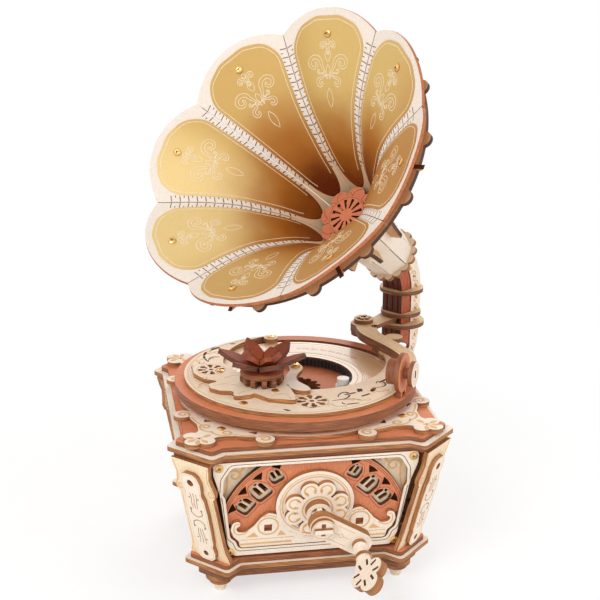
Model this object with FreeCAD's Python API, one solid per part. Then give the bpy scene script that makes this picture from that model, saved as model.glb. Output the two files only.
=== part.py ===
import FreeCAD, Part
import math
import os

# A hand cranked disc music box dressed as a small horn gramophone, cut from 3 mm plywood.
# Millimetres. +Z is up, the crank faces -Y, and the origin is the middle of the base on the table.

V = FreeCAD.Vector
UP = V(0, 0, 1)

# ---- sheet stock and fits -------------------------------------------------------------------
PLY = 3.0                    # plywood sheet
THIN_PLY = 1.6               # record sheet
SKIN = 0.5                   # printed gold veneer on the horn petals
RUN = 0.1                    # radial play of a turning fit
PLAY = 0.5                   # free air between parts that move past each other

# ---- feet and base --------------------------------------------------------------------------
FOOT_PLACE = 58.6            # foot centre from the middle, along X and along Y
FOOT_HEIGHT = 6.0
FOOT_TIP_RADIUS = 3.4
FOOT_TOP_RADIUS = 5.2
SMALL_DISC_RADIUS = 7.1
LARGE_DISC_RADIUS = 9.4
BASE_HALF = 72.5             # middle of the base plate to its straight edge
BASE_STRAIGHT = 46.5         # half length of that straight edge
BASE_EAR_NEAR = 56.2         # corner ear, the smaller coordinate of its corners
BASE_EAR_FAR = 81.9          # corner ear, the larger coordinate of its corners
BASE_FRAME_INSET = 6.0
BASE_FRAME_THICK = 4.0
BASE_TOP_INSET = 2.5
PLATE_CORNER = 3.0           # rounding of the plate corners

# ---- walls ----------------------------------------------------------------------------------
WALL_HEIGHT = 74.0
WALL_LEAN = 10.5             # degrees that each wall leans outward
WALL_FOOT = 69.3             # middle of the box to a wall's outer face, at its foot
PANEL_BOTTOM_HALF = 51.0
PANEL_TOP_HALF = 60.0
PANEL_BOTTOM = 2.5
PANEL_TOP = 74.5
OPENING_BOTTOM = 8.0
OPENING_TOP = 70.8
OPENING_BOTTOM_HALF = 49.5
OPENING_TOP_HALF = 58.0
ARCH_RADIUS = 60.6
ARCH_RISE = 18.3
DIAL_RISE = 39.0             # centre of the round dial above the wall's foot
DIAL_RADIUS = 25.0
DIAL_LAP = 8.0
GUSSET_RADIUS = 57.0         # arch centre to the outer side of the small three-sided openings
GUSSET_DEPTH = 4.6
GUSSET_HALF = 4.2            # half of that side, in degrees about the arch's centre
SCROLL_END = 53.3
SCROLL_PEAK = 34.5
POST_WIDTH_BOTTOM = 31.8
POST_WIDTH_TOP = 29.7
POST_FACE = 92.3             # middle of the box to a post's outer face, at its foot
POST_LEAN = 14.7
POST_OVERLAY_HALF = 8.5
POST_WAIST = 2.8             # the shaft is this much narrower on each side than its foot

# windows beside the dial: centre, width, height and turn in degrees
WINDOW_PLACES = [(44.0, 39.0, 12.0, 11.0, -52.0), (34.8, 49.3, 12.0, 13.5, -42.0),
                 (25.2, 60.0, 9.0, 10.0, -30.0)]
GUSSET_ANGLES = [6.0, 20.0, 35.0, 49.5, 64.0]   # about the arch's centre

# ---- deck plates ----------------------------------------------------------------------------
TOP_HALF = 85.7
TOP_STRAIGHT = 57.4
TOP_EAR_NEAR = 66.1
TOP_EAR_FAR = 92.0
TOP_UNDER_INSET = 3.0
TOP_UPPER_INSET = 4.0
DECK_HOLE_RADIUS = 17.5
SCROLL_DISC_RADIUS = 79.0
SCROLL_ARM = 75.0
SCROLL_WAIST = 71.2          # the arms are narrower between their curls and the flower
CURL_PLACE = 32.0
CURL_REACH = 78.6
CURL_RADIUS = 5.9
FLOWER_PLACE = 71.8
LOBE_RADIUS = 5.2
LOBE_REACH = 6.0

# ---- record rings, record and cover ---------------------------------------------------------
SPACER_THICK = 4.0
SPACER_RADIUS = 75.0
SPACER_BORE = 70.5
RING_RADIUS = 81.0
LEDGE_BORE = 62.0
RING_BORE = 72.0
GLIDE_THICK = 1.0
RECORD_RADIUS = 68.5
RECORD_HOLE = 38.4
COVER_RADIUS = 74.6
WINDOW_X = 10.0
WINDOW_Y = 21.0
WINDOW_RADIUS = 56.0
LUG_RADIUS = 5.2             # rounded ends of the crescent, under its last two screws
COVER_SCREWS = [(-51.0, -1.0), (-42.0, -52.0), (-20.0, -41.5), (69.0, 26.0), (-6.0, 71.0)]
ROSETTE_LOW = (1.3, -54.0, 10.0)        # middle and radius of the pierced wheels in the cover
ROSETTE_LEFT = (-56.4, 3.5, 9.0)
# cuts in the cover: middle, length, width and turn in degrees
COVER_SLITS = [(-48.7, 52.2, 7.0, 2.0, 40.0), (-56.7, 42.9, 6.0, 1.8, 70.0), (-67.6, 17.7, 5.0, 1.6, 80.0),
               (27.8, -45.7, 7.0, 1.8, 20.0), (26.1, -62.4, 7.0, 1.4, 8.0), (54.2, -26.5, 7.0, 2.0, 40.0),
               (44.0, -41.2, 4.0, 3.0, 60.0), (37.3, -49.4, 6.0, 1.8, 30.0)]

# ---- gear train -----------------------------------------------------------------------------
GEAR_MODULE = 0.9
RING_TEETH = 84
DRIVE_TEETH = 10
SPUR_TEETH = 24
PRESSURE_ANGLE = 25.0
BACKLASH = 0.25
CROWN_PEGS = 30
PINION_TEETH = 10
CROWN_PEG_RADIUS = 1.0
CROWN_PITCH_RADIUS = 27.0
DRIVE_ANGLE = -27.4          # direction of the drive post from the middle post
POST_RADIUS = 2.0
DRIVE_PIN_RADIUS = 1.5
RING_GEAR_RIM = 5.2          # ring gear's pitch circle to its outside
GUIDE_WIDTH = 3.0            # ring that guides the ring gear
RING_GEAR_THICK = 4.6
STAR_COUNT = 6
STAR_TIP = 3.3
STAR_ROOT = 1.9
STAR_FIRST = 2.6             # guide ring to the first star wheel
STAR_STEP = 2.2
COMB_BED = 0.8
COMB_ROOT = 12.0
COMB_BACK = 19.0
PINION_IN = -51.6            # pinion centre behind the wall face, along the shaft
PINION_ADDENDUM = 2.0
PEG_LENGTH = 4.2

# ---- crank ----------------------------------------------------------------------------------
CRANK_OFFSET = 1.0           # shaft centre beside the middle of the front wall
CRANK_RISE = 37.0            # shaft centre above the wall's foot
SHAFT_BAR = 10.0             # width of the two crossed strips of the shaft
BUSH_RADIUS = 8.0
ARM_OUT = 15.0               # wall face to the crank arm
ARM_WIDTH = 16.5
ARM_REACH_X = 23.8
ARM_REACH_Y = -15.4
GRIP_RADIUS = 3.0
GRIP_LENGTH = 9.0
COLLAR_SMALL = 4.5
COLLAR_LARGE = 5.2
KNOB_TURN = 45.0
KNOB_HALF_WIDTH = 12.0
KNOB_HALF_LENGTH = 14.5

# ---- tonearm --------------------------------------------------------------------------------
PIVOT_X = 61.0
PIVOT_Y = 63.0
ARM_BASE_Z = 130.0
SOUND_X = 61.5
SOUND_Y = -46.0
SOUND_Z = 137.6
SOUND_AXIS_X = 0.853
SOUND_AXIS_Y = -0.522
SOUND_RADIUS = 12.9

# ---- column and horn ------------------------------------------------------------------------
COLUMN_X = 97.3
COLUMN_Y = 95.8
HEAD_ANGLE = 217.72          # compass of the horn's mouth, from +X, in degrees
HORN_TILT = 36.83            # horn axis above the level
ELBOW_Z = 168.5              # height where the horn's axis meets the column's
ELBOW_RADIUS = 37.0
COLUMN_HALF = 11.0
BRACKET_CORNER = 1           # the post that carries the column
BRACKET_LOW = 64.0
BRACKET_REACH = -44.0        # the bracket's plates start behind the post's face and are cut to it
BRACKET_HIGH = 95.0
COLLAR_LOW = 123.0
COLUMN_RING_LOW = 131.0
COLUMN_RING_HIGH = 149.0
CHEEK_OFFSET = 8.0
MOUTH_DISTANCE = 165.03      # elbow point to the mouth plane, along the horn's axis
PETALS = 8
PETAL_TURN = 38.55           # first petal's direction about the horn's axis
PETAL_THICK = 2.0
PETAL_GAP = 0.25
PANEL_TIP = 102.0            # horn axis to a gold panel's far edge
PANEL_SHOULDER = 86.5
PANEL_CROWN = 10.0           # half width of the round far edge, and of its turn into the shoulder
PANEL_TURN = 24.2
PANEL_FOOT = 24.0
PANEL_MARGIN_TOP = 5.2       # panel edge to the seam
PANEL_MARGIN_FOOT = 2.3
PANEL_ROUND = 17.0
SCREW_RADIUS = 94.4          # horn axis to the screw near each petal's tip
SCREW_SEAT = 0.06            # flat screw head above the middle of the curved panel
TIP_RADIUS = 52.4            # arch of a petal's tip
RIB_DEEP = 9.0
RIB_START = 4.0
BACK_RING_DEPTH = 5.0
BACK_RING_WIDTH = 5.4
BACK_RING_CLEAR = 4.4        # ring's bore outside the petals' seams
BACK_RING_LOBE = 5.0
THROAT_DEPTH = 88.0
THROAT_CLEAR = 0.1           # throat leaves inside the petals
THROAT_LEAF = 7.6
THROAT_DISC_INSET = 4.2
THROAT_FACE = 14.6           # radius of the slotted disc in front of the leaves
THROAT_SLOTS = 12
THROAT_SLOT = (5.0, 12.4)    # slot's two ends from the horn's axis
NECK_START = 115.0
NECK_END = 146.0
# the seam between two petals, as (distance from the horn's axis, depth behind the mouth)
SEAM = [(101.0, -0.8), (88.5, 7.4), (76.9, 14.7), (66.0, 23.0), (55.9, 32.7), (47.1, 44.3),
        (38.6, 56.6), (31.3, 71.3), (25.9, 86.6), (22.5, 100.0), (20.6, NECK_START)]
TIP = (107.9, -10.3)         # a petal's tip in the same terms

# ---- lotus ----------------------------------------------------------------------------------
LOTUS_X = -26.3
LOTUS_Y = -25.0
LOTUS_TURN = -17.7
LOTUS_REACH = 29.0
LOTUS_RISE = 19.0
LOTUS_WIDTH = 13.4
LOTUS_START = 5.5            # middle of the flower to the foot of an outer petal
LOTUS_HUB_HEIGHT = 9.0
LOTUS_SADDLE = 17.0
LOTUS_INNER = (10.4, 9.6, 0.5, 38.0)    # inner petal: length, width, blunt tip and tilt

# ---- heights that follow --------------------------------------------------------------------
Z_DISCS = FOOT_HEIGHT
Z_BASE_FRAMES = Z_DISCS + 2 * PLY
Z_BASE_WHITE = Z_BASE_FRAMES + 2 * BASE_FRAME_THICK
Z_BASE_TOP = Z_BASE_WHITE + PLY
Z_WALL = Z_BASE_TOP + PLY
Z_TOP_UNDER = Z_WALL + WALL_HEIGHT
Z_TOP_WHITE = Z_TOP_UNDER + PLY
Z_TOP_UPPER = Z_TOP_WHITE + PLY
Z_SCROLL = Z_TOP_UPPER + PLY
Z_DECK = Z_SCROLL + PLY
Z_RING_LOWER = Z_DECK + SPACER_THICK
Z_RING_UPPER = Z_RING_LOWER + PLY
Z_COVER = Z_RING_UPPER + PLY
Z_OVERLAY = Z_COVER + PLY
Z_OVERLAY_TOP = Z_OVERLAY + PLY
Z_RECORD = Z_RING_UPPER + GLIDE_THICK
RING_GEAR_RADIUS = GEAR_MODULE * RING_TEETH / 2 + RING_GEAR_RIM
PINION_PITCH = CROWN_PITCH_RADIUS * PINION_TEETH / CROWN_PEGS
DRIVE_DISTANCE = GEAR_MODULE * (RING_TEETH - DRIVE_TEETH) / 2
SPUR_MODULE = DRIVE_DISTANCE / SPUR_TEETH
DRIVE_X = DRIVE_DISTANCE * math.cos(math.radians(DRIVE_ANGLE))
DRIVE_Y = DRIVE_DISTANCE * math.sin(math.radians(DRIVE_ANGLE))
WALL_SLOPE = math.radians(WALL_LEAN)
MID_SHARE = math.cos(math.pi / PETALS)   # a petal's middle is nearer the axis than its seams

parts = {}


# ---- drawing helpers ------------------------------------------------------------------------
def polar(radius, degrees, z=0.0, x=0.0, y=0.0):
    """Point at a radius and a compass angle about (x, y)."""
    turn = math.radians(degrees)
    return V(x + radius * math.cos(turn), y + radius * math.sin(turn), z)


def points_2d(pairs, z=0.0):
    return [V(pair[0], pair[1], z) for pair in pairs]


def polygon(points):
    """Closed face through flat points."""
    return Part.Face(Part.makePolygon(points + [points[0]]))


def rounded(points, radius):
    """Closed face through flat points with every corner rounded as far as its sides allow."""
    count = len(points)
    edges = []
    starts = []
    ends = []
    mids = []
    for i in range(count):
        corner = points[i]
        back = points[i - 1] - corner
        ahead = points[(i + 1) % count] - corner
        angle = back.getAngle(ahead)
        reach = min(radius / math.tan(angle / 2), 0.45 * back.Length, 0.45 * ahead.Length)
        true_radius = reach * math.tan(angle / 2)
        back.normalize()
        ahead.normalize()
        middle = back + ahead
        if middle.Length < 1e-6:
            starts.append(corner)
            ends.append(corner)
            mids.append(None)
            continue
        middle.normalize()
        starts.append(corner + back * reach)
        ends.append(corner + ahead * reach)
        mids.append(corner + middle * (true_radius / math.sin(angle / 2) - true_radius))
    for i in range(count):
        if mids[i] is not None:
            edges.append(Part.Arc(starts[i], mids[i], ends[i]).toShape())
        following = starts[(i + 1) % count]
        if (following - ends[i]).Length > 1e-6:
            edges.append(Part.LineSegment(ends[i], following).toShape())
    return Part.Face(Part.Wire(edges))


def smooth(points):
    """Closed face inside one smooth curve through flat points."""
    curve = Part.BSplineCurve()
    curve.interpolate(points, PeriodicFlag=True)
    return Part.Face(Part.Wire([curve.toShape()]))


def slab(face, z, thick):
    """A flat face in the XY plane made into a plate."""
    plate = face.extrude(V(0, 0, thick))
    plate.translate(V(0, 0, z))
    return plate


def disc(radius, z, thick, x=0.0, y=0.0):
    return Part.makeCylinder(radius, thick, V(x, y, z))


def ring(outer, inner, z, thick, x=0.0, y=0.0):
    return disc(outer, z, thick, x, y).cut(disc(inner, z - 1, thick + 2, x, y))


def block(x0, x1, y0, y1, z0, z1):
    return Part.makeBox(x1 - x0, y1 - y0, z1 - z0, V(x0, y0, z0))


def rod(start, end, radius):
    axis = end - start
    return Part.makeCylinder(radius, axis.Length, start, axis)


def fuse(shapes):
    whole = shapes[0]
    if len(shapes) > 1:
        whole = whole.multiFuse(shapes[1:])
    return whole.removeSplitter()


def turned(shape, degrees, about=V(0, 0, 0), axis=UP):
    copy = shape.copy()
    copy.rotate(about, axis, degrees)
    return copy


def placed(shape, origin, x_axis, y_axis):
    """Move a shape drawn in XY so that its X and Y lie along the given axes."""
    z_axis = x_axis.cross(y_axis)
    matrix = FreeCAD.Matrix(
        x_axis.x, y_axis.x, z_axis.x, origin.x,
        x_axis.y, y_axis.y, z_axis.y, origin.y,
        x_axis.z, y_axis.z, z_axis.z, origin.z,
        0, 0, 0, 1)
    copy = shape.copy()
    copy.Placement = FreeCAD.Placement(matrix).multiply(copy.Placement)
    return copy


def keep(name, *solids):
    """File the solids of one named piece."""
    parts.setdefault(name, [])
    for shape in solids:
        parts[name].extend(shape.Solids)


def inset(points, distance):
    """Move every side of a counter-clockwise outline inward by the same distance."""
    count = len(points)
    moved = []
    for i in range(count):
        before = points[i] - points[i - 1]
        after = points[(i + 1) % count] - points[i]
        before.normalize()
        after.normalize()
        normal_before = V(-before.y, before.x, 0)
        normal_after = V(-after.y, after.x, 0)
        share = 1 + normal_before.dot(normal_after)
        moved.append(points[i] + (normal_before + normal_after) * (distance / share))
    return moved


def eared_square(half, straight, near, far):
    """Square outline whose corners swell into cut-off ears."""
    quarter = [(-straight, -half), (straight, -half), (near, -far)]
    outline = []
    for k in range(4):
        turn = math.radians(90 * k)
        for x, y in quarter:
            outline.append(V(x * math.cos(turn) - y * math.sin(turn),
                             x * math.sin(turn) + y * math.cos(turn), 0))
        x, y = far, -near
        outline.append(V(x * math.cos(turn) - y * math.sin(turn),
                         x * math.sin(turn) + y * math.cos(turn), 0))
    return outline


BASE_OUTLINE = eared_square(BASE_HALF, BASE_STRAIGHT, BASE_EAR_NEAR, BASE_EAR_FAR)
TOP_OUTLINE = eared_square(TOP_HALF, TOP_STRAIGHT, TOP_EAR_NEAR, TOP_EAR_FAR)


# ---- base -----------------------------------------------------------------------------------
def make_base():
    for sx in (-1, 1):
        for sy in (-1, 1):
            x = sx * FOOT_PLACE
            y = sy * FOOT_PLACE
            foot = Part.makeCone(FOOT_TIP_RADIUS, FOOT_TOP_RADIUS, FOOT_HEIGHT, V(x, y, 0))
            keep("feet", foot)
            keep("feet", disc(SMALL_DISC_RADIUS, Z_DISCS, PLY, x, y))
            keep("feet", disc(LARGE_DISC_RADIUS, Z_DISCS + PLY, PLY, x, y))
    frame = rounded(inset(BASE_OUTLINE, BASE_FRAME_INSET), PLATE_CORNER)
    keep("base_frames", slab(frame, Z_BASE_FRAMES, BASE_FRAME_THICK))
    keep("base_frames", slab(frame, Z_BASE_FRAMES + BASE_FRAME_THICK, BASE_FRAME_THICK))
    keep("base_white_plate", slab(rounded(BASE_OUTLINE, PLATE_CORNER), Z_BASE_WHITE, PLY))
    top = rounded(inset(BASE_OUTLINE, BASE_TOP_INSET), PLATE_CORNER)
    keep("base_top_plate", slab(top, Z_BASE_TOP, PLY))


# ---- leaning walls --------------------------------------------------------------------------
def on_wall(shape, side):
    """Put a piece drawn as (across, up, outward) onto wall 0 front, 1 right, 2 back, 3 left."""
    across = V(1, 0, 0)
    up = V(0, -math.sin(WALL_SLOPE), math.cos(WALL_SLOPE))
    piece = placed(shape, V(0, -WALL_FOOT, Z_WALL), across, up)
    piece.rotate(V(0, 0, 0), UP, 90 * side)
    return piece


def wall_point(across, up, outward):
    """Point on the front wall."""
    return V(across,
             -WALL_FOOT - up * math.sin(WALL_SLOPE) - outward * math.cos(WALL_SLOPE),
             Z_WALL + up * math.cos(WALL_SLOPE) - outward * math.sin(WALL_SLOPE))


def opening_outline():
    """Trapezium with notched lower corners and shouldered sides."""
    bottom = OPENING_BOTTOM_HALF
    top = OPENING_TOP_HALF
    side = [(bottom - 1.5, OPENING_BOTTOM), (bottom + 0.5, OPENING_BOTTOM + 6),
            (bottom + 4, OPENING_BOTTOM + 9), (top - 1, 48.0), (top + 0.5, 50.5),
            (top, 62.0), (top - 5, OPENING_TOP)]
    right = [V(x, y, 0) for x, y in side]
    left = [V(-x, y, 0) for x, y in reversed(side)]
    return right + left


def panel_outline():
    """Outer edge of a wall frame, which shows a shoulder below the screw tabs."""
    side = [(PANEL_BOTTOM_HALF, PANEL_BOTTOM), (PANEL_BOTTOM_HALF + 4, 12.0), (60.5, 52.0),
            (PANEL_TOP_HALF + 4.5, 66.0), (PANEL_TOP_HALF + 4.5, PANEL_TOP)]
    right = [V(x, y, 0) for x, y in side]
    left = [V(-x, y, 0) for x, y in reversed(side)]
    return right + left


def gothic_window(x, y, width, height, degrees):
    """Pointed lancet whose tip looks away from the dial."""
    half = width / 2
    outline = [V(-half, -height / 2, 0), V(half, -height / 2, 0), V(half, height * 0.12, 0),
               V(half * 0.55, height / 2, 0), V(-half * 0.55, height / 2, 0), V(-half, height * 0.12, 0)]
    shape = slab(rounded(outline, 2.4), -10, 20)
    shape.rotate(V(0, 0, 0), UP, degrees)
    shape.translate(V(x, y, 0))
    return shape


def gussets(grow):
    """Three-sided openings between the windows and the arch's outer band."""
    tools = []
    for angle in GUSSET_ANGLES + [180 - angle for angle in GUSSET_ANGLES]:
        far = GUSSET_RADIUS + grow
        half = GUSSET_HALF + math.degrees(grow / GUSSET_RADIUS)
        corners = [polar(far, angle - half), polar(far + 0.3, angle), polar(far, angle + half),
                   polar(GUSSET_RADIUS - GUSSET_DEPTH - 1.5 * grow, angle)]
        tool = slab(polygon(corners), -20, 40)
        tool.translate(V(0, ARCH_RISE, 0))
        tools.append(tool)
    return tools


def tracery(width, height):
    """Two lights side by side and a small eye above them, for one window."""
    half = 0.12 * width
    foot = -0.32 * height
    top = 0.14 * height
    tools = [disc(0.09 * width, -20, 40, 0, 0.34 * height)]
    for side in (-1, 1):
        middle = side * 0.19 * width
        tools.append(block(middle - half, middle + half, foot, top, -20, 20))
        tools.append(disc(half, -20, 40, middle, top))
    return fuse(tools)


def wall_lattice():
    """Arch with lancet windows that stands behind the frame."""
    outline = inset(opening_outline(), -2.5)
    field = slab(polygon(outline), -2 * PLY, PLY)
    arch = disc(ARCH_RADIUS, -2 * PLY, PLY, 0, ARCH_RISE)
    plate = field.common(arch)
    tools = []
    for x, y, width, height, degrees in WINDOW_PLACES:
        tools.append(gothic_window(x, y, width, height, degrees))
        tools.append(gothic_window(-x, y, width, height, -degrees))
    tools += gussets(0.0)
    tools.append(disc(DIAL_RADIUS - DIAL_LAP, -10, 20, 0, DIAL_RISE))
    return plate.cut(tools)


def wall_backing():
    """Cream sheet behind the arch that fills its corners and carries the window tracery."""
    outline = inset(opening_outline(), -2.5)
    plate = slab(polygon(outline), -3 * PLY, PLY)
    tools = []
    for x, y, width, height, degrees in WINDOW_PLACES:
        for side in (-1, 1):
            lights = tracery(width, height)
            lights.rotate(V(0, 0, 0), UP, side * degrees)
            lights.translate(V(side * x, y, 0))
            tools.append(lights)
    tools += gussets(0.6)
    tools.append(disc(DIAL_RADIUS - DIAL_LAP, -20, 40, 0, DIAL_RISE))
    return plate.cut(tools)


def wall_frame():
    outer = slab(rounded(panel_outline(), 3.0), -PLY, PLY)
    hole = slab(rounded(opening_outline(), 5.0), -PLY - 1, PLY + 2)
    return outer.cut(hole)


def wall_scrolls():
    """Low scrollwork with two square eyes, cut round the dial."""
    end = SCROLL_END
    right = [(OPENING_BOTTOM_HALF - 2.2, OPENING_BOTTOM + 0.7), (OPENING_BOTTOM_HALF - 1.6, 14.0),
             (end - 2, 17.5), (end, 23.0), (end - 1.2, 28.5), (end - 5.5, 29.6), (end - 6.4, 26.0),
             (end - 3.2, 24.4), (end - 4.4, 21.2), (end - 9, 20.4), (end - 14.5, 25.0),
             (end - 19, 31.0), (29.5, SCROLL_PEAK), (25.0, 33.4), (21.0, 29.0), (12.0, 18.0)]
    outline = [V(x, y, 0) for x, y in right]
    outline += [V(-x, y, 0) for x, y in reversed(right)]
    plate = slab(rounded(outline, 3.0), -PLY, PLY)
    tools = [disc(DIAL_RADIUS + 0.02, -10, 20, 0, DIAL_RISE)]
    for side in (-1, 1):
        eye = block(-2.5, 2.5, -2.5, 2.5, -20, 20)
        eye.translate(V(side * 29.5, 23.0, 0))
        tools.append(eye)
    return plate.cut(tools)


def four_lobes(radius, reach, spread, thick, z):
    """Flower of four paired lobes about the origin."""
    pieces = [disc(reach * 0.8, z, thick)]
    for arm in range(4):
        for side in (-1, 1):
            centre = polar(reach, 90 * arm + side * spread)
            pieces.append(disc(radius, z, thick, centre.x, centre.y))
    return fuse(pieces)


def make_walls():
    shaft_hole = disc(SHAFT_BAR / 2 + RUN, -40, 80, CRANK_OFFSET, CRANK_RISE)
    keep("wall_frames", on_wall(wall_frame(), 0))
    keep("wall_lattices", on_wall(wall_lattice(), 0))
    keep("wall_backings", on_wall(wall_backing(), 0))
    keep("wall_scrolls", on_wall(wall_scrolls(), 0))
    dial = disc(DIAL_RADIUS, -PLY, PLY, 0, DIAL_RISE)
    keep("wall_dials", on_wall(dial.cut(shaft_hole), 0))
    flower = four_lobes(5.9, 15.2, 19.5, PLY, 0)
    flower.translate(V(CRANK_OFFSET, CRANK_RISE, 0))
    keep("wall_dials", on_wall(flower.cut(shaft_hole), 0))
    for side in (1, 2, 3):
        keep("wall_frames", on_wall(wall_frame(), side))
        keep("wall_lattices", on_wall(wall_lattice(), side))
        keep("wall_backings", on_wall(wall_backing(), side))
        keep("wall_scrolls", on_wall(wall_scrolls(), side))
        keep("wall_dials", on_wall(disc(DIAL_RADIUS, -PLY, PLY, 0, DIAL_RISE), side))


# ---- corner posts ---------------------------------------------------------------------------
def on_post(shape, corner):
    """Put a piece drawn as (across, up, outward) onto corner 0 front right, then anticlockwise."""
    slope = math.radians(POST_LEAN)
    across = V(math.sqrt(0.5), math.sqrt(0.5), 0)
    outward = V(math.sqrt(0.5), -math.sqrt(0.5), 0)
    up = outward * math.sin(slope) + V(0, 0, math.cos(slope))
    piece = placed(shape, outward * POST_FACE + V(0, 0, Z_WALL), across, up)
    piece.rotate(V(0, 0, 0), UP, 90 * corner)
    return piece


def post_length():
    return WALL_HEIGHT / math.cos(math.radians(POST_LEAN))


def mirrored_plate(side, corner, level):
    """Sheet whose right side is given from the bottom up, and its left side mirrored."""
    outline = [V(x, y, 0) for x, y in side]
    outline += [V(-x, y, 0) for x, y in reversed(side)]
    return slab(rounded(outline, corner), level, PLY)


def make_posts():
    length = post_length()
    low = POST_WIDTH_BOTTOM / 2
    high = POST_WIDTH_TOP / 2
    shaft = low - POST_WAIST
    # flared foot, plain shaft, and a capital that ends in a curl on each side
    board = mirrored_plate([(low, -2.0), (low - 0.4, 2.5), (shaft + 0.6, 8.0), (shaft, 14.0),
                            (shaft, 51.0), (high - 0.4, 51.6), (high + 0.8, 55.5), (high - 0.8, 60.5),
                            (high - 2.0, 66.0), (high - 0.8, 71.0), (high, length + 2.0)], 1.2, -PLY)
    half = POST_OVERLAY_HALF
    overlay = mirrored_plate([(half - 5.0, 1.0), (half - 1.6, 3.6), (half - 0.8, 8.5), (half - 1.9, 12.5),
                              (half - 0.6, 16.0), (half - 0.2, 28.0), (half + 0.2, 40.0),
                              (half - 0.4, 50.0), (half - 1.9, 54.0), (half - 1.2, 58.0),
                              (half - 0.8, 63.0), (half - 2.4, 67.4), (half - 5.2, 69.4)], 2.0, 0.0)
    overlay = overlay.cut([disc(1.9, -5, 10, 0, 6.5), disc(2.4, -5, 10, 0, 62.5)])
    trim = block(-200, 200, -200, 200, Z_WALL, Z_TOP_UNDER)
    below_bracket = block(-200, 200, -200, 200, Z_WALL, BRACKET_LOW - 1.0)
    for corner in range(4):
        keep("corner_posts", on_post(board, corner).common(trim))
        if corner == BRACKET_CORNER:
            keep("post_overlays", on_post(overlay, corner).common(below_bracket))
        else:
            keep("post_overlays", on_post(overlay, corner).common(trim))


# ---- deck -----------------------------------------------------------------------------------
def deck_scroll_face():
    """Round plate with a scrolled, flowered arm towards each corner."""
    pieces = [disc(SCROLL_DISC_RADIUS, 0, PLY)]
    side = [(22.0, -66.0), (33.0, -SCROLL_ARM), (41.0, -SCROLL_ARM + 0.6), (50.0, -SCROLL_WAIST),
            (60.0, -SCROLL_WAIST), (66.0, -SCROLL_ARM)]
    arm = [V(x, y, 0) for x, y in side] + [V(-y, -x, 0) for x, y in reversed(side)] + [V(30, -30, 0)]
    arm_plate = slab(rounded(arm, 4.0), 0, PLY)
    for k in range(4):
        corner = [arm_plate, disc(CURL_RADIUS, 0, PLY, CURL_PLACE, -CURL_REACH),
                  disc(CURL_RADIUS, 0, PLY, CURL_REACH, -CURL_PLACE)]
        for lobe in range(4):
            centre = polar(LOBE_REACH, 45 + 90 * lobe, 0, FLOWER_PLACE, -FLOWER_PLACE)
            corner.append(disc(LOBE_RADIUS, 0, PLY, centre.x, centre.y))
        for piece in corner:
            pieces.append(turned(piece, 90 * k))
    whole = fuse(pieces)
    tools = []
    for k in range(4):
        for near, far, tilt in ((45.0, 63.5, 0), (69.0, 38.5, 180)):
            tri = slab(polygon([V(-3, -2, 0), V(3, -2, 0), V(-2, 2.4, 0)]), -1, PLY + 2)
            tri.rotate(V(0, 0, 0), UP, tilt + 90)
            tri.translate(V(near, -far, 0))
            tools.append(turned(tri, 90 * k))
    return whole.cut(tools)


def make_deck():
    post_hole = disc(DRIVE_PIN_RADIUS + 2.5, 0, 200, DRIVE_X, DRIVE_Y)
    middle_hole = disc(DECK_HOLE_RADIUS, 0, 200)
    tools = [post_hole, middle_hole]
    under = slab(rounded(inset(TOP_OUTLINE, TOP_UNDER_INSET), PLATE_CORNER), Z_TOP_UNDER, PLY)
    white = slab(rounded(TOP_OUTLINE, PLATE_CORNER), Z_TOP_WHITE, PLY)
    upper = slab(rounded(inset(TOP_OUTLINE, TOP_UPPER_INSET), PLATE_CORNER), Z_TOP_UPPER, PLY)
    scroll = deck_scroll_face()
    scroll.translate(V(0, 0, Z_SCROLL))
    keep("top_brown_plates", under.cut(tools))
    keep("top_white_plate", white.cut(tools))
    keep("top_brown_plates", upper.cut(tools))
    keep("deck_scroll_plate", scroll.cut(tools))
    keep("deck_spacer", ring(SPACER_RADIUS, SPACER_BORE, Z_DECK, SPACER_THICK))
    keep("record_rings", ring(RING_RADIUS, LEDGE_BORE, Z_RING_LOWER, PLY))
    keep("record_rings", ring(RING_RADIUS, RING_BORE, Z_RING_UPPER, PLY))
    keep("glide_ring", ring(RING_BORE - RUN, LEDGE_BORE + 1, Z_RING_UPPER, GLIDE_THICK))


def slit(x, y, length, width, degrees):
    shape = fuse([block(-length / 2, length / 2, -width / 2, width / 2, 0, 200),
                  disc(width / 2, 0, 200, -length / 2, 0), disc(width / 2, 0, 200, length / 2, 0)])
    shape.rotate(V(0, 0, 0), UP, degrees)
    shape.translate(V(x, y, 0))
    return shape


def rosette_holes(x, y, radius):
    """Wheel of eight holes round a small centre hole."""
    tools = [disc(radius * 0.16, 0, 200, x, y)]
    for k in range(8):
        centre = polar(radius * 0.64, 45 * k, 0, x, y)
        tools.append(slit(centre.x, centre.y, radius * 0.36, radius * 0.2, 45 * k))
        knot = polar(radius * 0.8, 45 * k, 0, x, y)
        tools.append(disc(radius * 0.2, 0, 200, knot.x, knot.y))
    return tools


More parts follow.
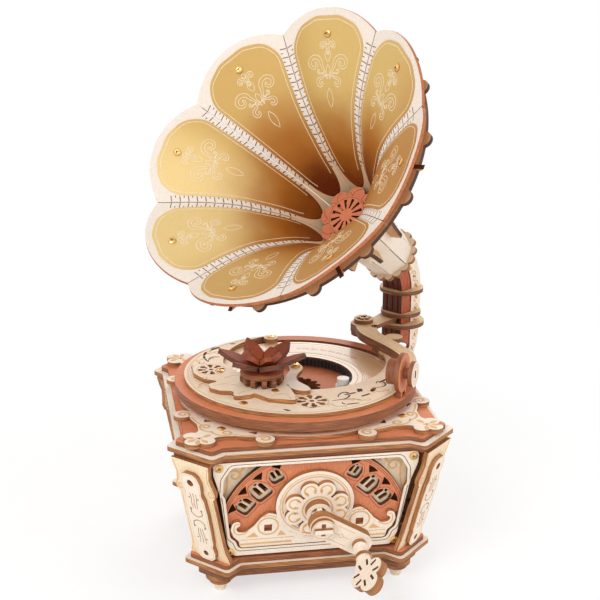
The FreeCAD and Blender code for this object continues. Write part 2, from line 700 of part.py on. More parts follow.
def make_cover():
    window = disc(WINDOW_RADIUS, 0, 300, WINDOW_X, WINDOW_Y)
    crescent = disc(COVER_RADIUS, Z_COVER, PLY).cut(window)
    lugs = [disc(LUG_RADIUS, Z_COVER, PLY, x, y) for x, y in COVER_SCREWS[3:]]
    cover = fuse([crescent] + lugs).common(disc(COVER_RADIUS + 1.5, 0, 300))
    tools = rosette_holes(*ROSETTE_LOW)
    for place in COVER_SLITS:
        tools.append(slit(*place))
    keep("cover_crescent", cover.cut(tools))
    outline = points_2d([(-68.5, 12.0), (-68.5, -2.0), (-63.0, -13.0), (-53.0, -19.0), (-61.0, -22.0),
                         (-60.5, -30.0), (-55.0, -35.0), (-46.0, -37.5), (-48.0, -47.0), (-36.0, -45.0),
                         (-34.0, -42.5), (-26.0, -53.0), (-8.0, -59.5), (-9.0, -46.0), (-10.0, -34.0),
                         (-18.0, -26.0), (-30.0, -12.0), (-40.0, -4.0), (-44.0, 8.0), (-49.0, 17.0),
                         (-60.0, 19.0)])
    overlay = slab(rounded(outline, 3.5), Z_OVERLAY, PLY)
    saddle = disc(LOTUS_SADDLE, Z_OVERLAY, PLY, LOTUS_X, LOTUS_Y)
    keep("cover_overlay", fuse([overlay, saddle]).cut(rosette_holes(*ROSETTE_LEFT)))
    bar = slab(smooth(points_2d([(-3.0, -43.5), (-9.0, -38.0), (-10.0, -27.0), (-8.5, -14.0), (-4.6, -4.0),
                                 (-3.0, 4.2), (3.0, 4.2), (4.6, -2.0), (0.0, -12.0), (-2.6, -26.0),
                                 (2.5, -38.0), (2.0, -43.0)])), Z_OVERLAY, PLY)
    tail = [parts["cover_overlay"][0]]
    keep("pressure_bar", bar.cut(tail))


# ---- brass screws ---------------------------------------------------------------------------
def screw(point, axis, radius=2.6, head=1.2):
    """Domed screw head standing on a surface."""
    axis = V(axis.x, axis.y, axis.z)
    axis.normalize()
    body = Part.makeCylinder(radius, head * 0.6, point, axis)
    cap = Part.makeCone(radius, radius * 0.62, head * 0.4, point + axis * (head * 0.6), axis)
    return fuse([body, cap])


def make_screws():
    for side in range(4):
        for x, y in ((61.0, 71.0), (-61.0, 71.0), (53.3, 6.0), (-53.3, 6.0)):
            start = wall_point(x, y, 0)
            outward = wall_point(x, y, 1) - start
            keep("brass_screws", turned(screw(start, outward), 90 * side))
        place = V(60.0, -57.0, Z_DECK)
        keep("brass_screws", turned(screw(place, UP), 90 * side))
    for index, (x, y) in enumerate(COVER_SCREWS):
        level = Z_OVERLAY if index in (1, 3, 4) else Z_OVERLAY_TOP
        keep("brass_screws", screw(V(x, y, level), UP))
    keep("brass_screws", screw(V(0, 0, Z_OVERLAY_TOP), UP, 3.4, 2.4))


# ---- lotus ----------------------------------------------------------------------------------
def leaf(length, width, blunt):
    """Leaf outline that starts at the origin and points along +X."""
    half = width / 2
    stem = half * 0.55
    tip = half * blunt
    side = [(0.0, stem), (length * 0.35, half), (length * 0.72, half * 0.72), (length, tip)]
    upper = [V(x, y, 0) for x, y in side]
    lower = [V(x, -y, 0) for x, y in reversed(side)]
    if blunt < 0.2:
        upper[-1] = V(length, 0.6, 0)
        lower[0] = V(length, -0.6, 0)
        return slab(polygon(lower[::-1] + upper[::-1]), 0, PLY)
    return slab(rounded(lower[::-1] + upper[::-1], half * 0.5), 0, PLY)


def lotus_petal(length, width, blunt, tilt, start_r, start_z, degrees):
    petal = leaf(length, width, blunt)
    petal.rotate(V(0, 0, 0), V(0, 1, 0), -tilt)
    petal.translate(V(start_r, 0, start_z))
    petal.rotate(V(0, 0, 0), UP, degrees)
    petal.translate(V(LOTUS_X, LOTUS_Y, 0))
    return petal


def make_lotus():
    base = Z_OVERLAY_TOP
    waist = base + LOTUS_HUB_HEIGHT
    keep("lotus_hub", disc(5.0, base, LOTUS_HUB_HEIGHT, LOTUS_X, LOTUS_Y))
    keep("lotus_hub", ring(14.0, 5.0, waist - PLY, PLY, LOTUS_X, LOTUS_Y))
    for k in range(6):
        angle = LOTUS_TURN + 60 * k
        fin_outline = points_2d([(5.0, 0.0), (12.5, 0.0), (14.5, 2.2), (14.0, 6.0), (5.0, 6.0)])
        for spread in (-14, 14):
            fin = slab(rounded(fin_outline, 1.2), -PLY / 2, PLY)
            fin.rotate(V(0, 0, 0), V(1, 0, 0), 90)
            fin.translate(V(0, 0, base))
            fin.rotate(V(0, 0, 0), UP, angle + spread)
            fin.translate(V(LOTUS_X, LOTUS_Y, 0))
            fin = fin.cut(disc(6.4, base - 1, 12, LOTUS_X, LOTUS_Y))
            keep("lotus_hub", fin)
        reach = LOTUS_REACH - LOTUS_START
        rise = LOTUS_RISE - LOTUS_HUB_HEIGHT
        tilt = math.degrees(math.atan2(rise, reach))
        keep("lotus_outer_petals",
             lotus_petal(math.hypot(reach, rise), LOTUS_WIDTH, 0.0, tilt, LOTUS_START, waist, angle))
    keep("lotus_hub", disc(5.4, waist, 5.0, LOTUS_X, LOTUS_Y))
    core = parts["lotus_hub"][-1]
    outer = parts["lotus_outer_petals"]
    trimmed = []
    for petal in outer:
        piece = petal.cut([core, block(-200, 200, -200, 200, waist - 20, waist)])
        trimmed.append(piece)
    separated = []
    for index, piece in enumerate(trimmed):
        wedge = wedge_solid(LOTUS_X, LOTUS_Y, LOTUS_TURN + 60 * index, 60.0, 0.2, 60.0)
        separated.extend(piece.common(wedge).Solids)
    parts["lotus_outer_petals"] = separated
    for k in range(6):
        angle = LOTUS_TURN + 60 * k
        inner = lotus_petal(*LOTUS_INNER, 5.0, waist + PLY + 0.4, angle)
        wedge = wedge_solid(LOTUS_X, LOTUS_Y, angle, 60.0, 0.2, 60.0)
        inner = inner.common(wedge).cut(separated + [core])
        keep("lotus_inner_petals", inner)


def wedge_solid(x, y, degrees, opening, gap, reach):
    """Upright wedge that opens about one direction, less a thin gap at each side."""
    half = math.radians(opening / 2)
    start = gap / math.sin(half)
    points = [V(start, 0, 0), V(reach * math.cos(half) + start, -reach * math.sin(half), 0),
              V(reach * 1.6, 0, 0), V(reach * math.cos(half) + start, reach * math.sin(half), 0)]
    solid = slab(polygon(points), 0, 400)
    solid.rotate(V(0, 0, 0), UP, degrees)
    solid.translate(V(x, y, 0))
    return solid


# ---- gears ----------------------------------------------------------------------------------
def involute_point(base_radius, radius):
    """Polar angle that an involute has swept when it reaches a radius."""
    ratio = math.sqrt(max(radius * radius / (base_radius * base_radius) - 1, 0))
    return ratio - math.atan(ratio)


def gear_face(teeth, module, addendum, dedendum, play):
    """Spur gear outline with one tooth centred on +X. Positive play thins the teeth."""
    pitch = module * teeth / 2
    base = pitch * math.cos(math.radians(PRESSURE_ANGLE))
    tip = pitch + addendum
    root = pitch - dedendum
    half_tooth = math.pi / (2 * teeth) - play / (2 * pitch)
    at_pitch = involute_point(base, pitch)
    steps = 4
    flank = []
    low = max(root, base)
    for i in range(steps + 1):
        radius = low + (tip - low) * i / steps
        flank.append((radius, half_tooth + at_pitch - involute_point(base, radius)))
    points = []
    for k in range(teeth):
        centre = 2 * math.pi * k / teeth
        if root < base:
            points.append(polar(root, math.degrees(centre - flank[0][1])))
        for radius, angle in flank:
            points.append(polar(radius, math.degrees(centre - angle)))
        for radius, angle in reversed(flank):
            points.append(polar(radius, math.degrees(centre + angle)))
        if root < base:
            points.append(polar(root, math.degrees(centre + flank[0][1])))
    return polygon(points)


def ring_gear():
    """Toothed ring under the record, with a gap centred on the drive post."""
    space = gear_face(RING_TEETH, GEAR_MODULE, GEAR_MODULE * 1.05, GEAR_MODULE * 0.75, -BACKLASH)
    body = disc(RING_GEAR_RADIUS, Z_RECORD - RING_GEAR_THICK, RING_GEAR_THICK)
    hole = slab(space, Z_RECORD - RING_GEAR_THICK - 1, RING_GEAR_THICK + 2)
    return body.cut(turned(hole, DRIVE_ANGLE))


def make_movement():
    plate_z = Z_DECK
    plate_thick = 2.0
    gear_floor = Z_RECORD - RING_GEAR_THICK
    # the plate under the record, with a cusped opening and a slot for the star wheels
    plate = disc(SPACER_BORE - RUN, plate_z, plate_thick)
    tools = [disc(DECK_HOLE_RADIUS - 2.6, 0, 300), disc(DRIVE_PIN_RADIUS + 2.5, 0, 300, DRIVE_X, DRIVE_Y)]
    for k in range(16):
        centre = polar(DECK_HOLE_RADIUS - 2.4, 22.5 * k)
        tools.append(disc(2.3, 0, 300, centre.x, centre.y))
    star_slot = STAR_TIP + 0.6
    tools.append(block(star_x(STAR_COUNT - 1) - 2.0, star_x(0) + 2.0, -star_slot, star_slot, 0, 300))
    keep("movement_plate", plate.cut(tools))
    guide = ring(RING_GEAR_RADIUS + GUIDE_WIDTH, RING_GEAR_RADIUS + RUN, plate_z + plate_thick,
                 gear_floor + 2.0 - plate_z - plate_thick)
    keep("guide_ring", guide)
    support = ring(RING_GEAR_RADIUS - 0.6, RING_GEAR_RADIUS - 3.4, plate_z + plate_thick,
                   gear_floor - plate_z - plate_thick - 0.05)
    keep("guide_ring", support)
    keep("record_ring_gear", ring_gear())
    record = ring(RECORD_RADIUS, RECORD_HOLE, Z_RECORD, THIN_PLY)
    tools = []
    for track in range(6):
        radius = 48.0 + 2.6 * track
        for mark in range(5):
            angle = 72 * mark + 31 * track
            hole = block(radius - 0.7, radius + 0.7, -1.5, 1.5, 0, 300)
            tools.append(turned(hole, angle))
    keep("record_disc", record.cut(tools))
    make_comb(plate_z + plate_thick)


def star_face():
    """Six pointed wheel."""
    points = []
    for k in range(6):
        for radius, turn in ((STAR_ROOT, -30), (STAR_ROOT, -14), (STAR_TIP, -5), (STAR_TIP, 5),
                             (STAR_ROOT, 14)):
            points.append(polar(radius, 60 * k + turn))
    return polygon(points)


def star_x(track):
    return -(RING_GEAR_RADIUS + GUIDE_WIDTH + STAR_FIRST + STAR_STEP * track)


def make_comb(floor):
    """Steel comb, and the star wheels on the axle between it and the record."""
    axle_z = Z_RECORD - PLAY - STAR_TIP
    inner = star_x(0) + 2.0
    outer = star_x(STAR_COUNT - 1) - 2.0
    for track in range(STAR_COUNT):
        wheel = slab(star_face(), -0.5, 1.0).cut(disc(1.0, -5, 10))
        wheel.rotate(V(0, 0, 0), V(0, 1, 0), 90)
        wheel.translate(V(star_x(track), 0, axle_z))
        keep("star_wheels", wheel)
    tube = rod(V(inner - 1.2, 0, axle_z), V(outer + 1.2, 0, axle_z), 1.3)
    tube = tube.cut([rod(V(0, 0, axle_z), V(-100, 0, axle_z), 0.7 + RUN)] + parts["star_wheels"])
    keep("star_wheels", tube)
    axle = [rod(V(inner, 0, axle_z), V(outer, 0, axle_z), 0.7)]
    for x in (inner - 1.0, outer):
        axle.append(block(x, x + 1.0, -2.0, 2.0, floor, axle_z + 1.4))
    keep("comb", fuse(axle))
    tips = -STAR_TIP - 0.4
    spine = block(outer, inner, -COMB_BACK, -COMB_ROOT, floor + COMB_BED, floor + COMB_BED + 0.9)
    comb = [spine]
    for track in range(STAR_COUNT):
        comb.append(block(star_x(track) - 0.8, star_x(track) + 0.8, -COMB_ROOT, tips,
                          floor + COMB_BED, floor + COMB_BED + 0.6))
    keep("comb", fuse(comb))
    keep("comb", block(outer, inner, -COMB_BACK - 1.0, -COMB_ROOT - 1.0, floor, floor + COMB_BED))
    for x in (outer + 4.0, inner - 4.0):
        keep("brass_screws", screw(V(x, -COMB_ROOT - 2.5, floor + COMB_BED + 0.9), UP, 1.6, 1.0))


def make_gear_train():
    spur_z = Z_TOP_UNDER - PLY - 1.0
    crown_z = crown_level()
    # fixed posts pressed into the base plate
    middle = disc(POST_RADIUS, Z_WALL, Z_OVERLAY - Z_WALL)
    keep("gear_posts", fuse([middle, disc(POST_RADIUS + 2.5, crown_z - 8.0, 4.0)]))
    offset = disc(DRIVE_PIN_RADIUS, Z_WALL, Z_RECORD + 1.0 - Z_WALL, DRIVE_X, DRIVE_Y)
    keep("gear_posts", fuse([offset, disc(DRIVE_PIN_RADIUS + 2.0, spur_z - 6.0, 4.0, DRIVE_X, DRIVE_Y)]))
    # sleeve, crown wheel and spur gear that turn together on the middle post
    sleeve = ring(POST_RADIUS + 2.5, POST_RADIUS + RUN, crown_z - 4.0, spur_z + PLY + 1.0 - crown_z + 4.0)
    crown = ring(CROWN_PITCH_RADIUS + 2.2, POST_RADIUS + 2.5, crown_z, PLY)
    crown_tools = []
    for k in range(5):
        centre = polar(14.5, 72 * k + 36)
        crown_tools.append(disc(6.0, 0, 300, centre.x, centre.y))
    crown = crown.cut(crown_tools)
    mesh_angle = math.degrees(math.asin(CRANK_OFFSET / CROWN_PITCH_RADIUS))
    pegs = []
    for k in range(CROWN_PEGS):
        centre = polar(CROWN_PITCH_RADIUS, 360.0 / CROWN_PEGS * (k + 0.5) - 90 + mesh_angle)
        pegs.append(disc(CROWN_PEG_RADIUS, crown_z - PEG_LENGTH, PEG_LENGTH, centre.x, centre.y))
    spur = slab(gear_face(SPUR_TEETH, SPUR_MODULE, SPUR_MODULE * 0.9, SPUR_MODULE * 1.15, BACKLASH),
                spur_z, PLY)
    spur = turned(spur, DRIVE_ANGLE).cut(disc(POST_RADIUS + 2.5, 0, 300))
    keep("spindle_sleeve", sleeve)
    keep("crown_wheel", crown)
    keep("spindle_sleeve", *pegs)
    keep("crown_wheel", spur)
    # compound gear that turns on the drive post
    cap_z = Z_RECORD + 0.3
    hub = ring(DRIVE_PIN_RADIUS + 1.5, DRIVE_PIN_RADIUS + RUN, spur_z - 2.0,
               cap_z - spur_z + 2.0, DRIVE_X, DRIVE_Y)
    wheel = slab(gear_face(SPUR_TEETH, SPUR_MODULE, SPUR_MODULE * 0.9, SPUR_MODULE * 1.15, BACKLASH),
                 spur_z, PLY)
    wheel = turned(wheel, DRIVE_ANGLE + 180.0 / SPUR_TEETH)
    wheel.translate(V(DRIVE_X, DRIVE_Y, 0))
    wheel = wheel.cut(disc(DRIVE_PIN_RADIUS + 1.5, 0, 300, DRIVE_X, DRIVE_Y))
    small = slab(gear_face(DRIVE_TEETH, GEAR_MODULE, GEAR_MODULE * 0.75, GEAR_MODULE * 1.0, BACKLASH),
                 Z_RECORD - 4.0, 3.7)
    small = turned(small, DRIVE_ANGLE)
    small.translate(V(DRIVE_X, DRIVE_Y, 0))
    small = small.cut(disc(DRIVE_PIN_RADIUS + RUN, 0, 300, DRIVE_X, DRIVE_Y))
    cap = ring(4.1, DRIVE_PIN_RADIUS + RUN, cap_z, 2.6, DRIVE_X, DRIVE_Y)
    cap = cap.fuse(disc(4.1, cap_z + 2.6, 1.2, DRIVE_X, DRIVE_Y))
    keep("drive_gear", wheel)
    keep("drive_pinion", fuse([hub, small, cap]))


# ---- crank ----------------------------------------------------------------------------------
def shaft_point(outward):
    return wall_point(CRANK_OFFSET, CRANK_RISE, outward)


def crown_level():
    """Underside of the crown wheel, clear of the pinion's tips."""
    top = shaft_point(PINION_IN).z + (PINION_PITCH + PINION_ADDENDUM) * math.cos(WALL_SLOPE)
    return top + PLY / 2 * math.sin(WALL_SLOPE) + PLAY


def make_crank():
    def put(shape):
        return on_wall(shape, 0)

    x = CRANK_OFFSET
    y = CRANK_RISE
    half = SHAFT_BAR / 2
    inner = PINION_IN - PLY / 2 - 9.0
    strip = PLY
    bar_a = block(x - half + 0.3, x + half - 0.3, y - strip / 2, y + strip / 2, inner, ARM_OUT + 9)
    bar_b = block(x - strip / 2, x + strip / 2, y - half + 0.3, y + half - 0.3, inner, ARM_OUT + 9)
    shaft = fuse([bar_a, bar_b]).common(disc(half, inner - 1, 120, x, y))
    keep("crank_shaft", put(shaft))
    bush = ring(BUSH_RADIUS, half + RUN, PLY, 5.0, x, y)
    keep("crank_bushes", put(bush))
    inner_bush = ring(BUSH_RADIUS, half + RUN, -3 * PLY - 4.0, 4.0, x, y)
    keep("crank_bushes", put(inner_bush.cut(disc(half + RUN, -60, 90, x, y))))
    # pinion with narrow tapering teeth, one gap between two crown pegs
    teeth = [disc(PINION_PITCH - 2.6, 0, PLY)]
    for k in range(PINION_TEETH):
        tooth = slab(polygon([V(5.0, -1.5, 0), V(PINION_PITCH - 1.0, -1.15, 0),
                              V(PINION_PITCH + PINION_ADDENDUM, -0.35, 0),
                              V(PINION_PITCH + PINION_ADDENDUM, 0.35, 0),
                              V(PINION_PITCH - 1.0, 1.15, 0), V(5.0, 1.5, 0)]), 0, PLY)
        teeth.append(turned(tooth, 90 + 360.0 / PINION_TEETH * k))
    pinion = fuse(teeth)
    pinion.translate(V(x, y, PINION_IN - PLY / 2))
    keep("crank_pinion", put(pinion.cut(shaft)))
    # inner bearing board that stands on the base plate
    bearing_z = PINION_IN - PLY / 2 - 6.0
    board = slab(polygon([V(x - 16, -WALL_HEIGHT, 0), V(x + 16, -WALL_HEIGHT, 0), V(x + 9, y + 4, 0),
                          V(x + 5, y + 9, 0), V(x - 5, y + 9, 0), V(x - 9, y + 4, 0)]), bearing_z - PLY, PLY)
    board = put(board.cut(disc(half + RUN, -90, 90, x, y)))
    keep("bearing_board", board.common(block(-100, 100, -100, 100, Z_WALL, 200)))
    # arm, hub disc and key
    ex = x + ARM_REACH_X
    ey = y + ARM_REACH_Y
    width = ARM_WIDTH / 2
    length = math.hypot(ARM_REACH_X, ARM_REACH_Y)
    bar = block(0, length, -width, width, ARM_OUT, ARM_OUT + 2 * PLY)
    bar.rotate(V(0, 0, 0), UP, math.degrees(math.atan2(ARM_REACH_Y, ARM_REACH_X)))
    bar.translate(V(x, y, 0))
    arm = fuse([bar, disc(width, ARM_OUT, 2 * PLY, x, y), disc(width, ARM_OUT, 2 * PLY, ex, ey)])
    pin_radius = 1.6
    arm = arm.cut([shaft, disc(pin_radius, 0, 200, ex, ey)])
    keep("crank_arm", put(arm))
    hub_z = ARM_OUT + 2 * PLY
    hub = disc(7.4, hub_z, PLY, x, y).cut(shaft)
    keep("crank_arm", put(hub))
    key = block(x - 5.6, x + 5.6, y - PLY / 2, y + PLY / 2, hub_z + PLY, hub_z + PLY + 2.2)
    keep("crank_arm", put(key))
    # handle pin and what spins on it
    grip_z = hub_z + RUN
    keep("handle_pin", put(disc(pin_radius, ARM_OUT, hub_z - ARM_OUT + 2 * PLY + GRIP_LENGTH, ex, ey)))
    bore = disc(pin_radius + RUN, 0, hub_z + 2 * PLY + GRIP_LENGTH + RUN, ex, ey)
    collar = disc(COLLAR_SMALL, grip_z, PLY, ex, ey)
    sleeve = disc(GRIP_RADIUS, grip_z + PLY, GRIP_LENGTH, ex, ey)
    end = disc(COLLAR_LARGE, grip_z + PLY + GRIP_LENGTH, PLY, ex, ey)
    keep("handle_grip", put(collar.cut(bore)), put(end.cut(bore)))
    keep("handle_grip", put(sleeve.cut(bore)))
    keep("handle_knob", put(knob_plate(ex, ey, grip_z + 2 * PLY + GRIP_LENGTH)))


def knob_plate(x, y, z):
    """Four-leaved finger plate of two plies that stands on the collar, along the handle's axis."""
    across = KNOB_HALF_WIDTH - 6.0
    along = KNOB_HALF_LENGTH - 6.5
    middle = KNOB_HALF_LENGTH - 0.6
    lobes = [disc(6.0, -PLY, 2 * PLY, across, middle), disc(6.0, -PLY, 2 * PLY, -across, middle),
             disc(6.5, -PLY, 2 * PLY, 0, middle + along), disc(6.2, -PLY, 2 * PLY, 0, middle - along),
             disc(7.0, -PLY, 2 * PLY, 0, middle)]
    plate = fuse(lobes).common(block(-50, 50, 0, 90, -20, 20))
    tools = []
    for turn in (0, 90, 180, 270):
        for side in (-1, 1):
            slot = fuse([block(4.6, 8.6, -0.8, 0.8, -20, 20), disc(0.8, -20, 40, 8.6, 0)])
            slot.rotate(V(0, 0, 0), UP, 10 * side)
            slot.translate(V(0, 1.7 * side, 0))
            slot.rotate(V(0, 0, 0), UP, turn)
            slot.translate(V(0, middle, 0))
            tools.append(slot)
    plate = plate.cut(tools)
    turn = math.radians(KNOB_TURN)
    across_axis = V(math.cos(turn), math.sin(turn), 0)
    return placed(plate, V(x, y, z), across_axis, V(0, 0, 1))


# ---- tonearm --------------------------------------------------------------------------------
def ribbon(centres, widths):
    """Flat band that follows a line of points with a half width at each."""
    left = []
    right = []
    count = len(centres)
    for i in range(count):
        before = centres[max(i - 1, 0)]
        after = centres[min(i + 1, count - 1)]
        along = after - before
        along.normalize()
        side = V(-along.y, along.x, 0) * widths[i]
        left.append(centres[i] + side)
        right.append(centres[i] - side)
    return smooth(left + right[::-1])


def make_tonearm():
    z = ARM_BASE_Z
    pivot = V(PIVOT_X, PIVOT_Y, 0)
    # fixed hook plate from the column's collar to the pivot
    hook_line = points_2d([(COLUMN_X - 6, COLUMN_Y - 2), (84.0, 90.0), (72.0, 79.0), (63.0, 69.0),
                           (PIVOT_X, PIVOT_Y)])
    hook = slab(ribbon(hook_line, [9.0, 7.5, 6.5, 7.0, 7.4]), z - PLY, PLY)
    hook = fuse([hook, disc(9.0, z - PLY, PLY, PIVOT_X, PIVOT_Y)])
    hook = hook.cut([column_void(), disc(2.0 + RUN, 0, 300, PIVOT_X, PIVOT_Y)])
    keep("hook_plate", max(hook.Solids, key=lambda solid: solid.Volume))
    pin = disc(2.0, z - PLY - 2.0, PLY + 2.0 + 2 * PLY, PIVOT_X, PIVOT_Y)
    keep("tonearm_pin", fuse([pin, disc(4.0, z - PLY - 2.0, 2.0, PIVOT_X, PIVOT_Y)]))
    # swinging arm of two plies with a finger tab
    line = points_2d([(PIVOT_X - 4, PIVOT_Y + 3), (PIVOT_X, PIVOT_Y - 4), (60.0, 44.0), (64.5, 26.0),
                      (71.0, 8.0), (74.5, -8.0), (72.5, -24.0), (66.5, -37.0)])
    arm = slab(ribbon(line, [6.5, 8.6, 7.0, 5.8, 5.4, 5.2, 4.8, 4.2]), z, 2 * PLY)
    tab = slab(ribbon(points_2d([(66.0, 31.0), (71.0, 33.0), (76.5, 36.0)]), [4.0, 3.4, 4.6]), z, PLY)
    arm = fuse([arm, disc(8.6, z, 2 * PLY, PIVOT_X, PIVOT_Y), tab, disc(6.2, z, PLY, 77.0, 36.5)])
    eye = disc(3.2, 0, 300, PIVOT_X + 6.0, PIVOT_Y - 10.5)
    arm = arm.cut([disc(2.0 + RUN, 0, z + 2 * PLY, PIVOT_X, PIVOT_Y), eye])
    keep("tonearm", arm)
    top = z + 2 * PLY
    keep("tonearm_knob", disc(7.0, top, PLY, PIVOT_X, PIVOT_Y))
    for k in range(6):
        centre = polar(3.4, 60 * k, 0, PIVOT_X, PIVOT_Y)
        keep("tonearm_knob", disc(1.5, top + PLY, 1.2, centre.x, centre.y))
    # sound box: round plates threaded on a level axis
    axis = V(SOUND_AXIS_X, SOUND_AXIS_Y, 0)
    axis.normalize()
    centre = V(SOUND_X, SOUND_Y, SOUND_Z)

    def plate(radius, start, thick):
        return Part.makeCylinder(radius, thick, centre + axis * start, axis)

    back = plate(8.4, -8.5, 2 * PLY)
    drum = plate(4.2, -8.5 + 2 * PLY, 8.5 - 2 * PLY - PLY / 2)
    face = plate(SOUND_RADIUS, -PLY / 2, PLY)
    neck = plate(3.6, PLY / 2, 4.5)
    cap = plate(8.4, PLY / 2 + 4.5, PLY)
    for shape in (back, drum, face, neck, cap):
        keep("sound_box", shape.cut(arm))
    across = V(-axis.y, axis.x, 0)
    for offset in (-4.5, 4.5):
        low = centre + across * offset + V(0, 0, Z_COVER + RUN + 0.2 - SOUND_Z)
        foot = placed(block(-PLY / 2, PLY / 2, -1.5, 1.5, 0, 6.0), low, axis, across)
        keep("sound_box", foot.cut(face))


# ---- column, elbow and neck -----------------------------------------------------------------
def head_directions():
    """Level direction away from the box, and the horn's axis towards its mouth."""
    turn = math.radians(HEAD_ANGLE)
    tilt = math.radians(HORN_TILT)
    level = V(-math.cos(turn), -math.sin(turn), 0)
    mouthward = V(math.cos(turn) * math.cos(tilt), math.sin(turn) * math.cos(tilt), math.sin(tilt))
    return level, mouthward


def column_plane(shape):
    """Put a piece drawn as (outward, up, across) into the column's own upright plane."""
    level, mouthward = head_directions()
    return placed(shape, V(COLUMN_X, COLUMN_Y, 0), level, UP)


def bend_band(inner, outer, low_inner, low_outer):
    """Flat face between two outward offsets that climbs the column and turns into the horn."""
    bend = math.radians(90 - HORN_TILT)
    tangent = ELBOW_RADIUS * math.tan(bend / 2)
    z0 = ELBOW_Z - tangent

    def arc(offset):
        radius = ELBOW_RADIUS + offset
        spots = []
        for share in (0, 0.5, 1):
            angle = bend * share
            spots.append(V(-ELBOW_RADIUS + radius * math.cos(angle), z0 + radius * math.sin(angle), 0))
        return spots

    first = arc(outer)
    second = arc(inner)
    edges = [Part.LineSegment(V(outer, low_outer, 0), first[0]).toShape(),
             Part.Arc(first[0], first[1], first[2]).toShape(),
             Part.LineSegment(first[2], second[2]).toShape(),
             Part.Arc(second[2], second[1], second[0]).toShape(),
             Part.LineSegment(second[0], V(inner, low_inner, 0)).toShape()]
    return edges


def cheek_face():
    """Outer half of the column: climbs from the bracket, past the collar and round the elbow."""
    edges = bend_band(0.0, COLUMN_HALF, 106.0, COLLAR_LOW - 2)
    start = V(0.0, 106.0, 0)
    foot = [V(-8.0, 97.0, 0), V(-24.0, BRACKET_HIGH, 0), V(BRACKET_REACH, BRACKET_HIGH, 0),
            V(BRACKET_REACH, BRACKET_LOW, 0), V(-22.0, BRACKET_LOW + 2.0, 0), V(-10.0, 74.0, 0),
            V(2.5, 92.0, 0), V(9.0, 108.0, 0), V(COLUMN_HALF, COLLAR_LOW - 2, 0)]
    path = [start] + foot
    for i in range(len(path) - 1):
        edges.append(Part.LineSegment(path[i], path[i + 1]).toShape())
    return Part.Face(Part.Wire(Part.__sortEdges__(edges)))


def rib_face():
    """Inner half of the column."""
    edges = bend_band(-COLUMN_HALF, -0.6, 114.0, 107.5)
    edges.append(Part.LineSegment(V(-COLUMN_HALF, 114.0, 0), V(-0.6, 107.5, 0)).toShape())
    return Part.Face(Part.Wire(Part.__sortEdges__(edges)))


def column_void():
    """Space that the column's plates take through its collars."""
    return column_plane(block(-COLUMN_HALF, COLUMN_HALF, 60, 200, -CHEEK_OFFSET - PLY / 2,
                              CHEEK_OFFSET + PLY / 2))


def make_column():
    behind_post = on_post(block(-80, 80, -40, 160, -80, 0), BRACKET_CORNER)
    for side in (-1, 1):
        cheek = slab(cheek_face(), side * CHEEK_OFFSET - PLY / 2, PLY)
        keep("column_cheeks", column_plane(cheek).cut(behind_post))
    for offset in (-7.5, -2.5, 2.5, 7.5):
        rib = slab(rib_face(), offset - PLY / 2, PLY)
        keep("column_ribs", column_plane(rib))
    # cross stays that tie ribs and cheeks, and the block that screws to the corner post
    half = CHEEK_OFFSET - PLY / 2
    for low in (136.0, 108.0):
        stay = block(-0.6, 5.0, low, low + 12.0, -half, half)
        keep("column_blocks", column_plane(stay))
    foot = block(BRACKET_REACH, -9.0, 75.0, BRACKET_HIGH, -half, half)
    keep("column_blocks", column_plane(foot).cut(behind_post))
    void = column_void()
    for radius, low in ((17.7, COLLAR_LOW), (15.0, COLUMN_RING_LOW), (16.3, COLUMN_RING_HIGH)):
        plate = disc(radius, low, PLY, COLUMN_X, COLUMN_Y)
        plate = plate.cut([void] + parts["column_ribs"])
        keep("column_collars", plate)


def horn_frame(shape):
    """Put a piece drawn about +Z, with z the depth behind the mouth, onto the horn's axis."""
    level, mouthward = head_directions()
    elbow = V(COLUMN_X, COLUMN_Y, ELBOW_Z)
    mouth = elbow + mouthward * MOUTH_DISTANCE
    side = V(-level.y, level.x, 0)
    depth = mouthward * -1
    other = depth.cross(side)
    return placed(shape, mouth, side, other)


def make_neck():
    """Eight straight staves and a scalloped end ring."""
    apothem_front = 19.0
    apothem_back = 16.6
    stave_width = 2 * apothem_front * math.tan(math.pi / PETALS) - 0.6
    stave_back = 2 * apothem_back * math.tan(math.pi / PETALS) - 0.6
    for k in range(PETALS):
        outer_front = apothem_front
        outer_back = apothem_back
        points = [V(outer_front, -stave_width / 2, NECK_START), V(outer_front, stave_width / 2, NECK_START),
                  V(outer_back, stave_back / 2, NECK_END), V(outer_back, -stave_back / 2, NECK_END)]
        face = polygon(points)
        stave = face.extrude(V(-PETAL_THICK, 0, 0)).common(petal_wedge(0.3, NECK_START, NECK_END))
        keep("neck_staves", horn_frame(turned(stave, 360.0 / PETALS * k + PETAL_TURN)))
    pieces = [disc(18.5, NECK_END, PLY)]
    for k in range(16):
        centre = polar(17.6, 22.5 * k)
        pieces.append(disc(3.4, NECK_END, PLY, centre.x, centre.y))
    end = horn_frame(fuse(pieces))
    keep("neck_ring", end.cut(parts["column_cheeks"] + parts["column_ribs"]))


# ---- horn -----------------------------------------------------------------------------------
def seam_radius(depth):
    """Distance from the horn's axis to a seam at a depth behind the mouth."""
    for (near_radius, near), (far_radius, far) in zip(SEAM, SEAM[1:]):
        if depth <= far:
            return near_radius + (far_radius - near_radius) * (depth - near) / (far - near)
    return SEAM[-1][0]


def petal_line():
    """Middle line of a petal, from its tip to the neck, as (distance from axis, depth)."""
    line = [TIP]
    for radius, depth in SEAM[1:]:
        line.append((radius * MID_SHARE, depth))
    return line


def shifted_line(line, distance):
    """The same line moved sideways, away from the mouth for a positive distance."""
    moved = []
    count = len(line)
    for i in range(count):
        a = line[max(i - 1, 0)]
        b = line[min(i + 1, count - 1)]
        dx = b[0] - a[0]
        dy = b[1] - a[1]
        size = math.hypot(dx, dy)
        moved.append((line[i][0] + dy / size * distance, line[i][1] - dx / size * distance))
    return moved


